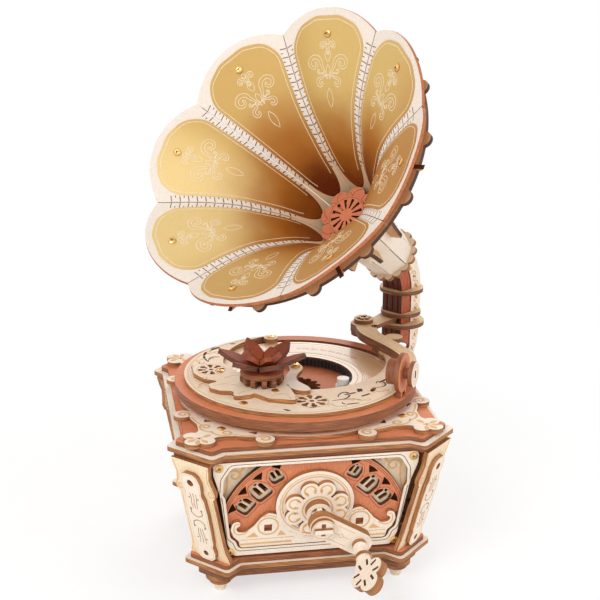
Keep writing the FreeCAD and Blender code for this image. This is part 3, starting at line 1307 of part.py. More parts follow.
def band_face(line, near, far):
    """Face between two smooth offsets of a line, in the XZ plane."""
    first = [V(r, 0, s) for r, s in shifted_line(line, near)]
    second = [V(r, 0, s) for r, s in shifted_line(line, far)]
    curve_a = Part.BSplineCurve()
    curve_a.interpolate(first)
    curve_b = Part.BSplineCurve()
    curve_b.interpolate(second)
    edges = [curve_a.toShape(), Part.LineSegment(first[-1], second[-1]).toShape(),
             curve_b.toShape(), Part.LineSegment(second[0], first[0]).toShape()]
    return Part.Face(Part.Wire(Part.__sortEdges__(edges)))


def petal_wedge(gap, first, last):
    """Space of one petal about +X between two depths, less a gap at each seam."""
    half = math.pi / PETALS
    start = gap / math.sin(half)
    reach = 150.0
    points = [V(start, 0, 0), V(start + reach, -reach * math.tan(half), 0),
              V(start + reach, reach * math.tan(half), 0)]
    return slab(polygon(points), first, last - first)


def tip_waste(shrink):
    """Everything outside the arch that rounds a petal's tip."""
    tip = V(TIP[0], 0, TIP[1])
    back = V(SEAM[1][0] * MID_SHARE, 0, SEAM[1][1])
    along = back - tip
    along.normalize()
    centre = tip + along * TIP_RADIUS
    normal = V(0, 1, 0).cross(along)
    keepers = Part.makeCylinder(TIP_RADIUS - shrink, 60, centre - normal * 30, normal)
    return block(40, 140, -70, 70, -40, 16.0).cut(keepers)


def petal_screw():
    """Screw head that stands on the gold panel near a petal's tip."""
    curve = Part.BSplineCurve()
    curve.interpolate([V(r, 0, s) for r, s in petal_line()])
    spot = curve.parameter(V(SCREW_RADIUS, 0, 0))
    along = curve.tangent(spot)[0]
    normal = along.cross(V(0, 1, 0))
    if normal.z > 0:
        normal = normal * -1
    return screw(curve.value(spot) + normal * (SKIN + SCREW_SEAT), normal, 2.6, 1.6)


def petal_solid(near, far, gap, shrink, last):
    """One curved petal between two offsets, from its arched tip to a depth."""
    face = band_face(petal_line(), near, far)
    face.translate(V(0, -60, 0))
    band = face.extrude(V(0, 120, 0))
    body = band.common(petal_wedge(gap, -40, last)).cut(tip_waste(shrink))
    return max(body.Solids, key=lambda solid: solid.Volume)


def gold_panel():
    """Printed veneer in front of a petal, with round shoulders and a narrow foot."""
    slope = math.tan(math.pi / PETALS)
    outline = []
    for radius, margin in ((PANEL_FOOT, PANEL_MARGIN_FOOT), (PANEL_SHOULDER, PANEL_MARGIN_TOP)):
        outline.append(V(radius, -(radius * slope - margin / MID_SHARE), 0))
    outline.append(V(PANEL_TIP - 4.0, -PANEL_TURN, 0))
    outline.append(V(PANEL_TIP + 1.4, -PANEL_CROWN, 0))
    outline += [V(point.x, -point.y, 0) for point in reversed(outline)]
    face = band_face(petal_line(), -SKIN, 0.0)
    face.translate(V(0, -60, 0))
    band = face.extrude(V(0, 120, 0))
    sheet = band.common(slab(rounded(outline, PANEL_ROUND), -60, 160))
    return max(sheet.Solids, key=lambda solid: solid.Volume)


def throat_face():
    """Small disc in front of the throat's leaves, with a ring of slots that widen outward."""
    depth = THROAT_DEPTH - 2 * PLY
    near, far = THROAT_SLOT
    slots = []
    for k in range(THROAT_SLOTS):
        slot = slab(polygon([V(near, -0.45, 0), V(far, -1.3, 0), V(far, 1.3, 0), V(near, 0.45, 0)]),
                    depth - 1, PLY + 2)
        slots.append(turned(slot, 360.0 / THROAT_SLOTS * k))
    return disc(THROAT_FACE, depth, PLY).cut(slots)


def make_horn():
    petal = petal_solid(0.0, PETAL_THICK, PETAL_GAP, 0.0, NECK_START)
    panel = gold_panel()
    # fins behind the petals and the scalloped ring that ties them
    fin_face = band_face(petal_line(), PETAL_THICK, PETAL_THICK + RIB_DEEP)
    fin_face.translate(V(0, -PLY / 2, 0))
    fin = fin_face.extrude(V(0, PLY, 0))
    fin = fin.common(block(-10, 200, -50, 50, RIB_START, NECK_START - 4))
    bore = seam_radius(BACK_RING_DEPTH) + BACK_RING_CLEAR
    outside = bore + BACK_RING_WIDTH
    pieces = [disc(outside, BACK_RING_DEPTH, PLY)]
    for k in range(2 * PETALS):
        centre = polar(outside - 1.0, 180.0 / PETALS * (k + 0.5) + PETAL_TURN)
        pieces.append(disc(BACK_RING_LOBE, BACK_RING_DEPTH, PLY, centre.x, centre.y))
    ring_plate = fuse(pieces).cut(disc(bore, 0, 20))
    fin = fin.cut(ring(outside, bore, BACK_RING_DEPTH, PLY))
    fin = max(fin.Solids, key=lambda solid: solid.Volume)
    keep("horn_back_ring", horn_frame(ring_plate))
    # throat: a plain disc on the neck's core, then eight round leaves, then a disc with slots
    core = disc(12.0, THROAT_DEPTH + PLY, NECK_END - THROAT_DEPTH - PLY)
    keep("neck_ring", horn_frame(core))
    reach = seam_radius(THROAT_DEPTH) * MID_SHARE - THROAT_CLEAR
    keep("horn_throat", horn_frame(disc(reach - THROAT_DISC_INSET, THROAT_DEPTH, PLY)))
    leaf_plate = disc(THROAT_LEAF, THROAT_DEPTH - PLY, PLY, reach - THROAT_LEAF, 0)
    leaf_plate = leaf_plate.common(petal_wedge(0.15, 0, 180))
    keep("horn_throat", horn_frame(throat_face()))
    head = petal_screw()
    for k in range(PETALS):
        angle = 360.0 / PETALS * k + PETAL_TURN
        for name, piece in (("horn_petals", petal), ("gold_panels", panel), ("brass_screws", head),
                            ("horn_ribs", fin), ("horn_throat", leaf_plate)):
            keep(name, horn_frame(turned(piece, angle)))


# ---- build ----------------------------------------------------------------------------------
def to_origin():
    """Level move that brings the middle of the whole object's box over the origin."""
    whole = FreeCAD.BoundBox()
    for name in ("top_white_plate", "column_collars", "handle_knob", "horn_petals"):
        for solid in parts[name]:
            whole.add(solid.optimalBoundingBox(False))
    return V(-whole.Center.x, -whole.Center.y, 0)


def build():
    make_base()
    make_walls()
    make_posts()
    make_deck()
    make_cover()
    make_screws()
    make_lotus()
    make_movement()
    make_gear_train()
    make_crank()
    make_tonearm()
    make_column()
    make_neck()
    make_horn()
    shift = to_origin()
    os.makedirs("parts", exist_ok=True)
    for name, solids in parts.items():
        shape = solids[0] if len(solids) == 1 else Part.makeCompound(solids)
        shape.translate(shift)
        shape.exportStep("parts/%s.step" % name)


build()
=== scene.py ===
import bmesh
import bpy
import math
from mathutils import Matrix, Vector
from mathutils.bvhtree import BVHTree
from mathutils.geometry import tessellate_polygon


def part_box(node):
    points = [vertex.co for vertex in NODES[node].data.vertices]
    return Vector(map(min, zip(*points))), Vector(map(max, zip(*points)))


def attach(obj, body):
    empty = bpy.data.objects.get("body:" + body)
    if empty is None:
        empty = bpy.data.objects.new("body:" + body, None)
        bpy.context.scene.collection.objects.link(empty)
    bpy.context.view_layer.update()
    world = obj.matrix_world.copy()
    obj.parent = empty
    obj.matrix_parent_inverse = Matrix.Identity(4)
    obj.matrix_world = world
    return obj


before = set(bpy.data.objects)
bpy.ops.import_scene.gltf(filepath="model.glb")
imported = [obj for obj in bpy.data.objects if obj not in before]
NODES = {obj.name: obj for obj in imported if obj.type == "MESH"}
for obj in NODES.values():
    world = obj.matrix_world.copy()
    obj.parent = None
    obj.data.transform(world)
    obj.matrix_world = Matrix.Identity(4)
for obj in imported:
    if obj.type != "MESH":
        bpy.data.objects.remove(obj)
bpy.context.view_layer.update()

MM = 0.001
TAU = 2 * math.pi
UP = Vector((0, 0, 1))
BASE_LOW, BASE_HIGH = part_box("base_white_plate")
HOME = (Vector(BASE_LOW) + Vector(BASE_HIGH)) / 2
HOME.z = 0.0                 # middle of the square box on the table; lengths below start from it


# ---- colours --------------------------------------------------------------------------------
def tone(red, green, blue):
    """Linear colour from eight bit screen values."""
    out = []
    for value in (red, green, blue):
        value /= 255.0
        out.append(value / 12.92 if value <= 0.04045 else ((value + 0.055) / 1.055) ** 2.4)
    return (out[0], out[1], out[2], 1.0)


CREAM = tone(246, 234, 219)
CREAM_SHADE = tone(236, 218, 196)
TAN = tone(228, 198, 158)
TAN_DEEP = tone(212, 172, 124)
INLAY = tone(226, 180, 122)
KHAKI = tone(232, 204, 162)
KHAKI_DEEP = tone(212, 176, 128)
SALMON = tone(222, 140, 97)
SALMON_DEEP = tone(200, 116, 77)
RUST = tone(166, 80, 40)
RUST_DEEP = tone(120, 52, 24)
EDGE = tone(204, 138, 80)
EDGE_LINE = tone(88, 46, 25)
DARK_EDGE = tone(168, 104, 64)
BURNT = tone(92, 50, 28)
BURNT_LIGHT = tone(178, 110, 60)
SCORCH = tone(52, 28, 16)


# ---- material kit ---------------------------------------------------------------------------
class Tree:
    """Nodes of a material or a world, under construction."""

    def __init__(self, tree):
        self.tree = tree

    def put(self, socket, value):
        if isinstance(value, bpy.types.NodeSocket):
            self.tree.links.new(value, socket)
        else:
            socket.default_value = value

    def node(self, kind, *values, **props):
        """A new node with its first inputs set."""
        made = self.tree.nodes.new("ShaderNode" + kind)
        for key, value in props.items():
            setattr(made, key, value)
        for socket, value in zip(made.inputs, values):
            self.put(socket, value)
        return made

    def math(self, operation, first, second=0.0, third=0.0):
        return self.node("Math", first, second, third, operation=operation).outputs[0]

    def times(self, first, second):
        return self.math("MULTIPLY", first, second)

    def plus(self, first, second):
        return self.math("ADD", first, second)

    def length(self, x, y):
        return self.math("SQRT", self.plus(self.times(x, x), self.times(y, y)))

    def seen_rays(self):
        """1 for the camera's own rays and for those that glossy and clear surfaces pass on."""
        rays = self.node("LightPath").outputs
        passed = self.math("MAXIMUM", rays["Is Glossy Ray"], rays["Is Transmission Ray"])
        return self.math("MAXIMUM", rays["Is Camera Ray"], passed)


class Shade(Tree):
    """A material whose colours depend on the place and the normal."""

    def __init__(self, name):
        self.mat = bpy.data.materials.new(name)
        self.mat.use_nodes = True
        super().__init__(self.mat.node_tree)
        self.bsdf = self.tree.nodes["Principled BSDF"]
        coord = self.node("TexCoord")
        self.normal = coord.outputs["Normal"]
        self.place = self.vector("SUBTRACT", coord.outputs["Object"], tuple(HOME))

    def vector(self, operation, first, second=(0, 0, 0), output=0):
        return self.node("VectorMath", first, second, operation=operation).outputs[output]

    def dot(self, first, second):
        return self.vector("DOT_PRODUCT", first, second, "Value")

    def cross(self, first, second):
        return self.vector("CROSS_PRODUCT", first, second)

    def mix(self, factor, low, high):
        made = self.node("Mix", data_type="RGBA")
        self.put(made.inputs[0], factor)
        self.put(made.inputs[6], low)
        self.put(made.inputs[7], high)
        return made.outputs[2]

    def noise(self, scale, stretch=(1, 1, 1), detail=3.0, rough=0.5, vector=None):
        made = self.node("TexNoise")
        self.put(made.inputs["Vector"], self.vector("MULTIPLY", vector or self.place, stretch))
        made.inputs["Scale"].default_value = scale
        made.inputs["Detail"].default_value = detail
        made.inputs["Roughness"].default_value = rough
        return made.outputs["Fac"]

    def fibre(self, stretch, detail=4.0, rough=0.6):
        """Fine grain of wood."""
        return self.noise(230.0, stretch, detail, rough)

    def grained(self, fibre, face, dark, low=0.34, high=0.72):
        """Two tones that follow the grain."""
        return self.mix(self.ramp(fibre, low, high), face, dark)

    def split(self, vector):
        """X, Y and Z of a vector."""
        return tuple(self.node("SeparateXYZ", vector).outputs)

    def ramp(self, value, low, high):
        """Smooth 0 to 1 between two values."""
        made = self.node("MapRange", interpolation_type="SMOOTHSTEP")
        self.put(made.inputs["Value"], value)
        made.inputs["From Min"].default_value = low
        made.inputs["From Max"].default_value = high
        return made.outputs["Result"]

    def bump(self, height, strength):
        made = self.node("Bump")
        made.inputs["Strength"].default_value = strength
        made.inputs["Distance"].default_value = 0.2 * MM
        self.put(made.inputs["Height"], height)
        self.tree.links.new(made.outputs["Normal"], self.bsdf.inputs["Normal"])

    def finish(self, colour, rough=0.6, metal=0.0, **more):
        self.put(self.bsdf.inputs["Base Color"], colour)
        self.put(self.bsdf.inputs["Roughness"], rough)
        self.bsdf.inputs["Metallic"].default_value = metal
        for key, value in more.items():
            self.bsdf.inputs[key.replace("_", " ")].default_value = value
        return self.mat


WALL_LEAN = math.radians(10.5)
POST_LEAN = math.radians(14.7)
HORN_H = Vector((-0.61188, 0.79095, 0.0))
HORN_N = Vector((-0.63312, -0.48978, 0.59941))
HORN_W = (-HORN_N).cross(HORN_H)
HORN_P = Vector((-7.16, 15.0, 267.38)) * MM   # middle of the horn's mouth, from HOME
PETAL_TURN = math.radians(38.55)


def quadrant_axis(shade, vector, lean, diagonal):
    """Component of a vector along the leaning normal of the wall or post that is nearest."""
    along = shade.vector("MULTIPLY", vector, shade.vector("SIGN", shade.place))
    drop = shade.times(shade.split(vector)[2], -math.sin(lean))
    if diagonal:
        half = math.cos(lean) * math.sqrt(0.5)
        return shade.plus(shade.dot(along, (half, half, 0)), drop)
    far_x, far_y, _ = shade.split(shade.vector("ABSOLUTE", shade.place))
    side = shade.math("GREATER_THAN", far_x, far_y)
    by_x = shade.times(shade.dot(along, (math.cos(lean), 0, 0)), side)
    by_y = shade.times(shade.dot(along, (0, math.cos(lean), 0)), shade.math("SUBTRACT", 1.0, side))
    return shade.plus(shade.plus(by_x, by_y), drop)


KNOB_FACING = Vector((-math.sin(math.pi / 4), -math.sin(WALL_LEAN) * math.cos(math.pi / 4),
                      math.cos(WALL_LEAN) * math.cos(math.pi / 4)))
SHEET_AXES = {"flat": UP, "column": HORN_H, "axis": HORN_N,
              "sound": Vector((0.853, -0.522, 0)).normalized(), "knob": KNOB_FACING,
              "crank": Vector((0, -math.cos(WALL_LEAN), -math.sin(WALL_LEAN)))}


def sheet_normal(shade, vector, kind):
    """Component of a vector through the thickness of the sheet."""
    if kind == "wall":
        return quadrant_axis(shade, vector, WALL_LEAN, False)
    if kind == "post":
        return quadrant_axis(shade, vector, POST_LEAN, True)
    return shade.dot(vector, tuple(SHEET_AXES[kind]))


def face_mask(shade, kind, limit=0.75):
    """1 on the sheet's faces and 0 on its cut edges."""
    return shade.math("GREATER_THAN", shade.math("ABSOLUTE", sheet_normal(shade, shade.normal, kind)), limit)


WOOD_ROUGH = 0.62


def plywood(name, face, dark, kind="flat", edge=EDGE, line=EDGE_LINE, limit=0.75):
    """Sheet with fine grain on its faces and scorched, layered cut edges."""
    shade = Shade(name)
    fibre = shade.fibre((0.8, 7.0, 7.0) if kind in ("flat", "axis") else (6.0, 6.0, 0.8), 5.0, 0.62)
    cloud = shade.ramp(shade.noise(24.0, detail=2.0), 0.42, 0.75)
    body = shade.mix(shade.times(cloud, 0.5), shade.grained(fibre, face, dark), dark)
    shade.bump(fibre, 0.2)
    if kind == "none":
        return shade.finish(body, WOOD_ROUGH)
    side = layered_edge(shade, sheet_normal(shade, shade.place, kind), edge, line)
    return shade.finish(shade.mix(face_mask(shade, kind, limit), side, body), WOOD_ROUGH)


def layered_edge(shade, depth, edge, line):
    """Scorched plies: dark glue lines through the thickness and faint streaks along the cut."""
    layered = shade.vector("ADD", shade.vector("MULTIPLY", shade.place, (0.1, 0.1, 0.1)),
                           shade.node("CombineXYZ", depth, depth, depth).outputs[0])
    streak = shade.noise(900.0, (1, 1, 1), 3.0, 0.6, layered)
    wave = shade.math("SINE", shade.times(depth, TAU / (0.98 * MM)))
    side = shade.mix(shade.times(shade.ramp(streak, 0.34, 0.66), 0.7), edge, line)
    return shade.mix(shade.times(shade.ramp(wave, 0.2, 0.9), 0.7), side, line)


def fin_ply(name, face, dark, edge):
    """Sheet whose plane holds the horn's axis: pale sides and a dark edge that faces outwards."""
    shade = Shade(name)
    spoke = shade.vector("SUBTRACT", shade.place, tuple(HORN_P))
    around = shade.vector("NORMALIZE", shade.cross(tuple(HORN_N), spoke))
    mask = shade.math("GREATER_THAN", shade.math("ABSOLUTE", shade.dot(shade.normal, around)), 0.75)
    fibre = shade.fibre((5, 5, 1))
    side = shade.grained(fibre, edge, SCORCH, 0.3, 0.7)
    return shade.finish(shade.mix(mask, side, shade.grained(fibre, face, dark)), WOOD_ROUGH)


SOUND_CAP = 1.2 * MM         # thickness of the sound box's cream cap
GRIP_WAIST = 3.3 * MM        # radius of the handle's sleeve between its collars
FOOT_TIP = 6.0 * MM          # height of a foot's turned tip


def sound_ply(name):
    """Stack of discs: brown ones behind a cream cap."""
    shade = Shade(name)
    axis = SHEET_AXES["sound"]
    top = max((vertex.co - HOME).dot(axis) for vertex in NODES["sound_box"].data.vertices)
    depth = shade.dot(shade.place, tuple(axis))
    fibre = shade.fibre((3, 3, 3))
    body = shade.mix(shade.math("GREATER_THAN", depth, top - SOUND_CAP),
                     shade.grained(fibre, SALMON, SALMON_DEEP), shade.grained(fibre, CREAM, CREAM_SHADE))
    side = layered_edge(shade, depth, DARK_EDGE, EDGE_LINE)
    shade.bump(fibre, 0.2)
    return shade.finish(shade.mix(face_mask(shade, "sound"), side, body), WOOD_ROUGH)


def grip_ply(name):
    """Cream sleeve between dark edged collars, by distance from the handle's own axis."""
    shade = Shade(name)
    axis = SHEET_AXES["crank"]
    points = [vertex.co - HOME for vertex in NODES["handle_grip"].data.vertices]
    middle = sum(points, Vector()) / len(points)
    spoke = shade.cross(shade.vector("SUBTRACT", shade.place, tuple(middle)), tuple(axis))
    wide = shade.math("GREATER_THAN", shade.vector("LENGTH", spoke, output="Value"), GRIP_WAIST)
    cream = shade.grained(shade.fibre((3, 3, 3)), CREAM, CREAM_SHADE)
    side = layered_edge(shade, shade.dot(shade.place, tuple(axis)), EDGE, EDGE_LINE)
    rim = shade.times(wide, shade.math("SUBTRACT", 1.0, face_mask(shade, "crank")))
    return shade.finish(shade.mix(rim, cream, side), 0.6)


def foot_ply(name):
    """Cream turned tip under brown edged discs."""
    shade = Shade(name)
    height = shade.split(shade.place)[2]
    fibre = shade.fibre((5, 5, 1))
    side = layered_edge(shade, height, EDGE, EDGE_LINE)
    discs = shade.mix(face_mask(shade, "flat"), side, shade.grained(fibre, TAN, KHAKI_DEEP, 0.3, 0.7))
    tip = shade.grained(fibre, CREAM, TAN)
    return shade.finish(shade.mix(shade.math("LESS_THAN", height, FOOT_TIP), discs, tip), WOOD_ROUGH)


def dress(names, material):
    for name in names.split():
        for slot in NODES[name].material_slots:
            slot.material = material


# ---- decals: thin burnt or printed strokes that lie on the CAD faces -------------------------
TREES = {}


def tree_of(names):
    """Ray target made of the meshes of some CAD nodes."""
    if names not in TREES:
        verts = []
        faces = []
        for name in names.split():
            mesh = NODES[name].data
            base = len(verts)
            verts += [vertex.co.copy() for vertex in mesh.vertices]
            faces += [[base + index for index in face.vertices] for face in mesh.polygons]
        TREES[names] = BVHTree.FromPolygons(verts, faces)
    return TREES[names]


def link(name, data):
    """A new object in the scene."""
    made = bpy.data.objects.new(name, data)
    bpy.context.scene.collection.objects.link(made)
    return made


class Sheet:
    """A drawing plane in millimetres that drops its points onto CAD faces below it."""

    def __init__(self, names, origin, across, up, reach=12.0):
        self.tree = tree_of(names)
        self.origin = origin
        self.across = across
        self.up = up
        self.out = across.cross(up).normalized()
        self.reach = reach * MM

    def drop(self, u, v):
        start = self.origin + self.across * (u * MM) + self.up * (v * MM) + self.out * self.reach
        point, normal, _, _ = self.tree.ray_cast(start, -self.out, self.reach * 2.5)
        if point is None or normal is None:
            return None
        if normal.dot(self.out) < 0:
            normal = -normal
        if normal.dot(self.out) < 0.35:
            return None
        return point, normal


def dense(path, width, closed, step=1.6):
    """The path with its long spans divided, and a width for each point."""
    widths = taper(len(path), *width) if isinstance(width, tuple) else [width] * len(path)
    points = []
    sizes = []
    count = len(path)
    for i in range(count if closed else count - 1):
        j = (i + 1) % count
        pieces = max(1, math.ceil(math.dist(path[i], path[j]) / step))
        for k in range(pieces):
            t = k / pieces
            points.append((path[i][0] + (path[j][0] - path[i][0]) * t,
                           path[i][1] + (path[j][1] - path[i][1]) * t))
            sizes.append(widths[i] + (widths[j] - widths[i]) * t)
    if not closed:
        points.append(path[-1])
        sizes.append(widths[-1])
    return points, sizes


SINK = 0.05 * MM


class Deco:
    """Collects strokes and patches into one mesh piece, from lift above the faces to SINK below."""

    drawn = []

    def __init__(self, name, ink_and_slot, lift=0.05, body="base"):
        self.drawn.append(self)
        self.name = name
        self.material, self.slot = ink_and_slot
        self.body = body
        self.lift = lift * MM
        self.verts = []
        self.faces = []

    def stroke(self, sheet, path, width, closed=False):
        """A flat band along a path; width is one number or (start, middle, end)."""
        path, width = dense(path, width, closed)
        count = len(path)
        rows = []
        for i in range(count):
            before = path[i - 1] if (i or closed) else path[0]
            after = path[(i + 1) % count] if (i < count - 1 or closed) else path[-1]
            dx = after[0] - before[0]
            dy = after[1] - before[1]
            size = math.hypot(dx, dy) or 1.0
            half = width[i] / 2
            nx = -dy / size * half
            ny = dx / size * half
            left = sheet.drop(path[i][0] + nx, path[i][1] + ny)
            right = sheet.drop(path[i][0] - nx, path[i][1] - ny)
            if left and right and (left[0] - right[0]).length < (half * 2 + 0.8) * MM:
                rows.append((left, right))
            else:
                rows.append(None)
        if closed:
            rows.append(rows[0])
        run = []
        for row in rows + [None]:
            if row is None or (run and (row[0][0] - run[-1][0][0]).length > 6 * MM):
                self.band(run)
                run = []
            if row is not None:
                run.append(row)

    def band(self, rows):
        if len(rows) < 2:
            return
        base = len(self.verts)
        for left, right in rows:
            for point, normal in (left, right):
                self.verts.append(point + normal * self.lift)
                self.verts.append(point - normal * SINK)
        for i in range(len(rows) - 1):
            a = base + 4 * i
            b = a + 4
            self.faces += [(a, a + 2, b + 2, b), (a + 1, b + 1, b + 3, a + 3),
                           (a, b, b + 1, a + 1), (a + 2, a + 3, b + 3, b + 2)]
        last = base + 4 * (len(rows) - 1)
        self.faces += [(base, base + 1, base + 3, base + 2), (last, last + 2, last + 3, last + 1)]

    def patch(self, sheet, outline):
        """A filled flat shape."""
        hits = [sheet.drop(u, v) for u, v in outline]
        if any(hit is None for hit in hits):
            return
        base = len(self.verts)
        count = len(hits)
        for point, normal in hits:
            self.verts.append(point + sheet.out * self.lift)
        for point, normal in hits:
            self.verts.append(point - sheet.out * SINK)
        flat = [Vector((u, v, 0)) for u, v in outline]
        for tri in tessellate_polygon([flat]):
            self.faces.append(tuple(base + i for i in tri))
            self.faces.append(tuple(base + count + i for i in reversed(tri)))
        for i in range(count):
            j = (i + 1) % count
            self.faces.append((base + i, base + j, base + count + j, base + count + i))

    def build(self):
        mesh = bpy.data.meshes.new(self.name)
        mesh.from_pydata([tuple(vertex) for vertex in self.verts], [], self.faces)
        mesh.validate()
        obj = link(self.name, mesh)
        mesh.materials.append(self.material)
        work = bmesh.new()
        work.from_mesh(mesh)
        bmesh.ops.recalc_face_normals(work, faces=work.faces)
        work.to_mesh(mesh)
        work.free()
        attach(obj, self.body)


# ---- curves in the drawing plane -------------------------------------------------------------
def spiral(cx, cy, start_radius, end_radius, start, end, steps=26):
    points = []
    for i in range(steps + 1):
        share = i / steps
        radius = start_radius + (end_radius - start_radius) * share
        angle = math.radians(start + (end - start) * share)
        points.append((cx + radius * math.cos(angle), cy + radius * math.sin(angle)))
    return points


def arc_path(cx, cy, radius, start, end, steps=40):
    return spiral(cx, cy, radius, radius, start, end, steps)


def bend(points, steps=6):
    """Smooth curve through points."""
    out = []
    count = len(points)
    for i in range(count - 1):
        p = [points[max(min(i + k, count - 1), 0)] for k in (-1, 0, 1, 2)]
        for step in range(steps):
            t = step / steps
            out.append(tuple(0.5 * ((2 * p[1][a]) + (p[2][a] - p[0][a]) * t
                                    + (2 * p[0][a] - 5 * p[1][a] + 4 * p[2][a] - p[3][a]) * t * t
                                    + (3 * p[1][a] - p[0][a] - 3 * p[2][a] + p[3][a]) * t ** 3)
                             for a in (0, 1)))
    return out + [points[-1]]


def taper(count, start, middle, end):
    out = []
    for i in range(count):
        share = i / max(count - 1, 1)
        out.append(start + (middle - start) * min(share * 2, 1) if share < 0.5
                   else middle + (end - middle) * (share - 0.5) * 2)
    return out


def flip(path, sign=-1):
    """The path, mirrored where the sign is -1."""
    return [(sign * u, v) for u, v in path]


def moved(path, du, dv, turn):
    """The path, turned about zero by degrees and then moved."""
    c = math.cos(math.radians(turn))
    s = math.sin(math.radians(turn))
    return [(du + u * c - v * s, dv + u * s + v * c) for u, v in path]


def ring_path(radius, steps=72, cx=0.0, cy=0.0):
    return [(cx + radius * math.cos(TAU * i / steps), cy + radius * math.sin(TAU * i / steps))
            for i in range(steps)]


# ---- materials ------------------------------------------------------------------------------
def metal(name, colour, dark):
    shade = Shade(name)
    wear = shade.noise(500.0)
    return shade.finish(shade.grained(wear, colour, dark, 0.3, 0.8),
                        shade.math("MULTIPLY_ADD", wear, 0.18, 0.24), 1.0)


def plastic(name, colour, dark, rough):
    shade = Shade(name)
    grain = shade.noise(700.0, detail=2.0)
    shade.bump(grain, 0.06)
    return shade.finish(shade.grained(grain, colour, dark, 0.3, 0.8), rough)


def clear_ring():
    """Glossy pale blue grey ring, with pale streaks in its colour painted as reflections."""
    shade = Shade("clear_ring")
    streak = shade.noise(30.0, detail=2.0)
    # painted reflection: pale streaks mixed into the base colour
    colour = shade.grained(streak, tone(120, 128, 138), tone(214, 220, 226), 0.35, 0.65)
    return shade.finish(colour, 0.12, 0.0, Coat_Weight=1.0, Coat_Roughness=0.05)


GROOVE_START = 0.044         # metres from the record's middle
GROOVE_END = 0.062
GROOVE_FADE = 0.002


def record_face():
    """Cream record with fine grooves in a ring and a clouded tan."""
    shade = Shade("record_face")
    x, y, _ = shade.split(shade.place)
    radius = shade.length(x, y)
    wave = shade.math("SINE", shade.times(radius, TAU / (1.25 * MM)))
    inner = shade.ramp(radius, GROOVE_START, GROOVE_START + GROOVE_FADE)
    outer = shade.math("SUBTRACT", 1.0, shade.ramp(radius, GROOVE_END, GROOVE_END + GROOVE_FADE))
    zone = shade.times(inner, outer)
    groove = shade.times(shade.ramp(wave, 0.0, 0.9), zone)
    base = shade.grained(shade.noise(22.0), tone(244, 226, 196), TAN, 0.3, 0.62)
    base = shade.mix(shade.times(zone, 0.35), base, TAN_DEEP)
    colour = shade.mix(shade.times(groove, 0.7), base, tone(190, 140, 84))
    colour = shade.mix(face_mask(shade, "flat"), BURNT, colour)
    shade.bump(groove, 0.3)
    return shade.finish(colour, 0.34, 0.0, Coat_Weight=0.4, Coat_Roughness=0.15)


def horn_radius(shade):
    centred = shade.vector("SUBTRACT", shade.place, tuple(HORN_P))
    x = shade.dot(centred, tuple(HORN_H))
    y = shade.dot(centred, tuple(HORN_W))
    return shade.length(x, y), x, y


def gold_paper():
    """Brushed gold print with painted shade that makes it browner on the low side of the horn; darkens
    towards the throat.
    """
    shade = Shade("gold_paper")
    radius, x, y = horn_radius(shade)
    cloud = shade.noise(36.0)
    speck = shade.noise(1500.0, detail=2.0)

    # share of a point that lies towards one direction across the horn's mouth, used below for painted shade
    # and painted highlights by how each petal faces the lamps
    def side(degrees, low, high, share):
        turn = math.radians(degrees)
        lean = shade.plus(shade.times(x, math.cos(turn)), shade.times(y, math.sin(turn)))
        return shade.times(shade.ramp(shade.math("DIVIDE", lean, radius), low, high), share)

    # painted shade: browner towards 196 and 264 degrees, away from the key light, and darker at 39 degrees
    # where the key light falls hardest; painted highlight: lighter at 325 degrees
    brown = tone(184, 132, 74)
    outer = shade.mix(side(196.0, 0.25, 0.95, 1.0), tone(211, 178, 110), brown)
    outer = shade.mix(side(264.0, 0.8, 0.98, 0.45), outer, brown)
    outer = shade.mix(side(39.0, 0.75, 0.95, 0.9), outer, tone(194, 156, 88))
    outer = shade.mix(side(325.0, 0.7, 0.97, 0.7), outer, tone(230, 202, 142))
    # painted light: on the petals at 331 and 84 degrees, which face the lamps, the dark towards the throat
    # starts further in
    painted_light = shade.plus(side(331.0, 0.6, 0.9, 1.0), side(84.0, 0.75, 0.95, 1.0))
    reach = shade.plus(radius, shade.times(shade.math("SUBTRACT", cloud, 0.5), 0.02))
    reach = shade.plus(reach, shade.times(painted_light, 0.009))
    colour = shade.mix(shade.ramp(reach, 0.026, 0.050), tone(108, 44, 10), tone(172, 104, 30))
    colour = shade.mix(shade.ramp(reach, 0.042, 0.078), colour, outer)
    colour = shade.mix(shade.times(shade.ramp(speck, 0.55, 0.75), 0.3), colour, tone(166, 124, 66))
    shade.bump(speck, 0.10)
    return shade.finish(colour, 0.46, 0.12, Specular_IOR_Level=0.25)


def petal_cream():
    """Cream petal front, with a rust coloured back and cut edge."""
    shade = Shade("petal_cream")
    radius, x, y = horn_radius(shade)
    toward = shade.dot(shade.normal, tuple(HORN_N))
    nx = shade.dot(shade.normal, tuple(HORN_H))
    ny = shade.dot(shade.normal, tuple(HORN_W))
    radial = shade.math("DIVIDE", shade.plus(shade.times(nx, x), shade.times(ny, y)), radius)
    front = shade.times(shade.math("GREATER_THAN", toward, 0.05), shade.math("LESS_THAN", radial, -0.1))
    fibre = shade.noise(240.0, (3, 3, 3), 4.0)
    face = shade.mix(shade.ramp(fibre, 0.3, 0.8), tone(236, 225, 214), tone(228, 213, 198))
    face = shade.mix(shade.ramp(radius, 0.055, 0.024), face, TAN)
    back = shade.mix(shade.ramp(fibre, 0.3, 0.8), tone(190, 112, 66), tone(150, 78, 44))
    back = shade.mix(shade.ramp(radius, 0.036, 0.033), back, shade.mix(fibre, CREAM, CREAM_SHADE))
    shade.bump(fibre, 0.12)
    return shade.finish(shade.mix(front, back, face), 0.6)


def ink(name, colour, dark, slot):
    """A burnt or printed line's material, and the slot that it goes with."""
    shade = Shade(name)
    burn = shade.noise(600.0, detail=2.0)
    return shade.finish(shade.grained(burn, colour, dark, 0.3, 0.75), 0.7), slot


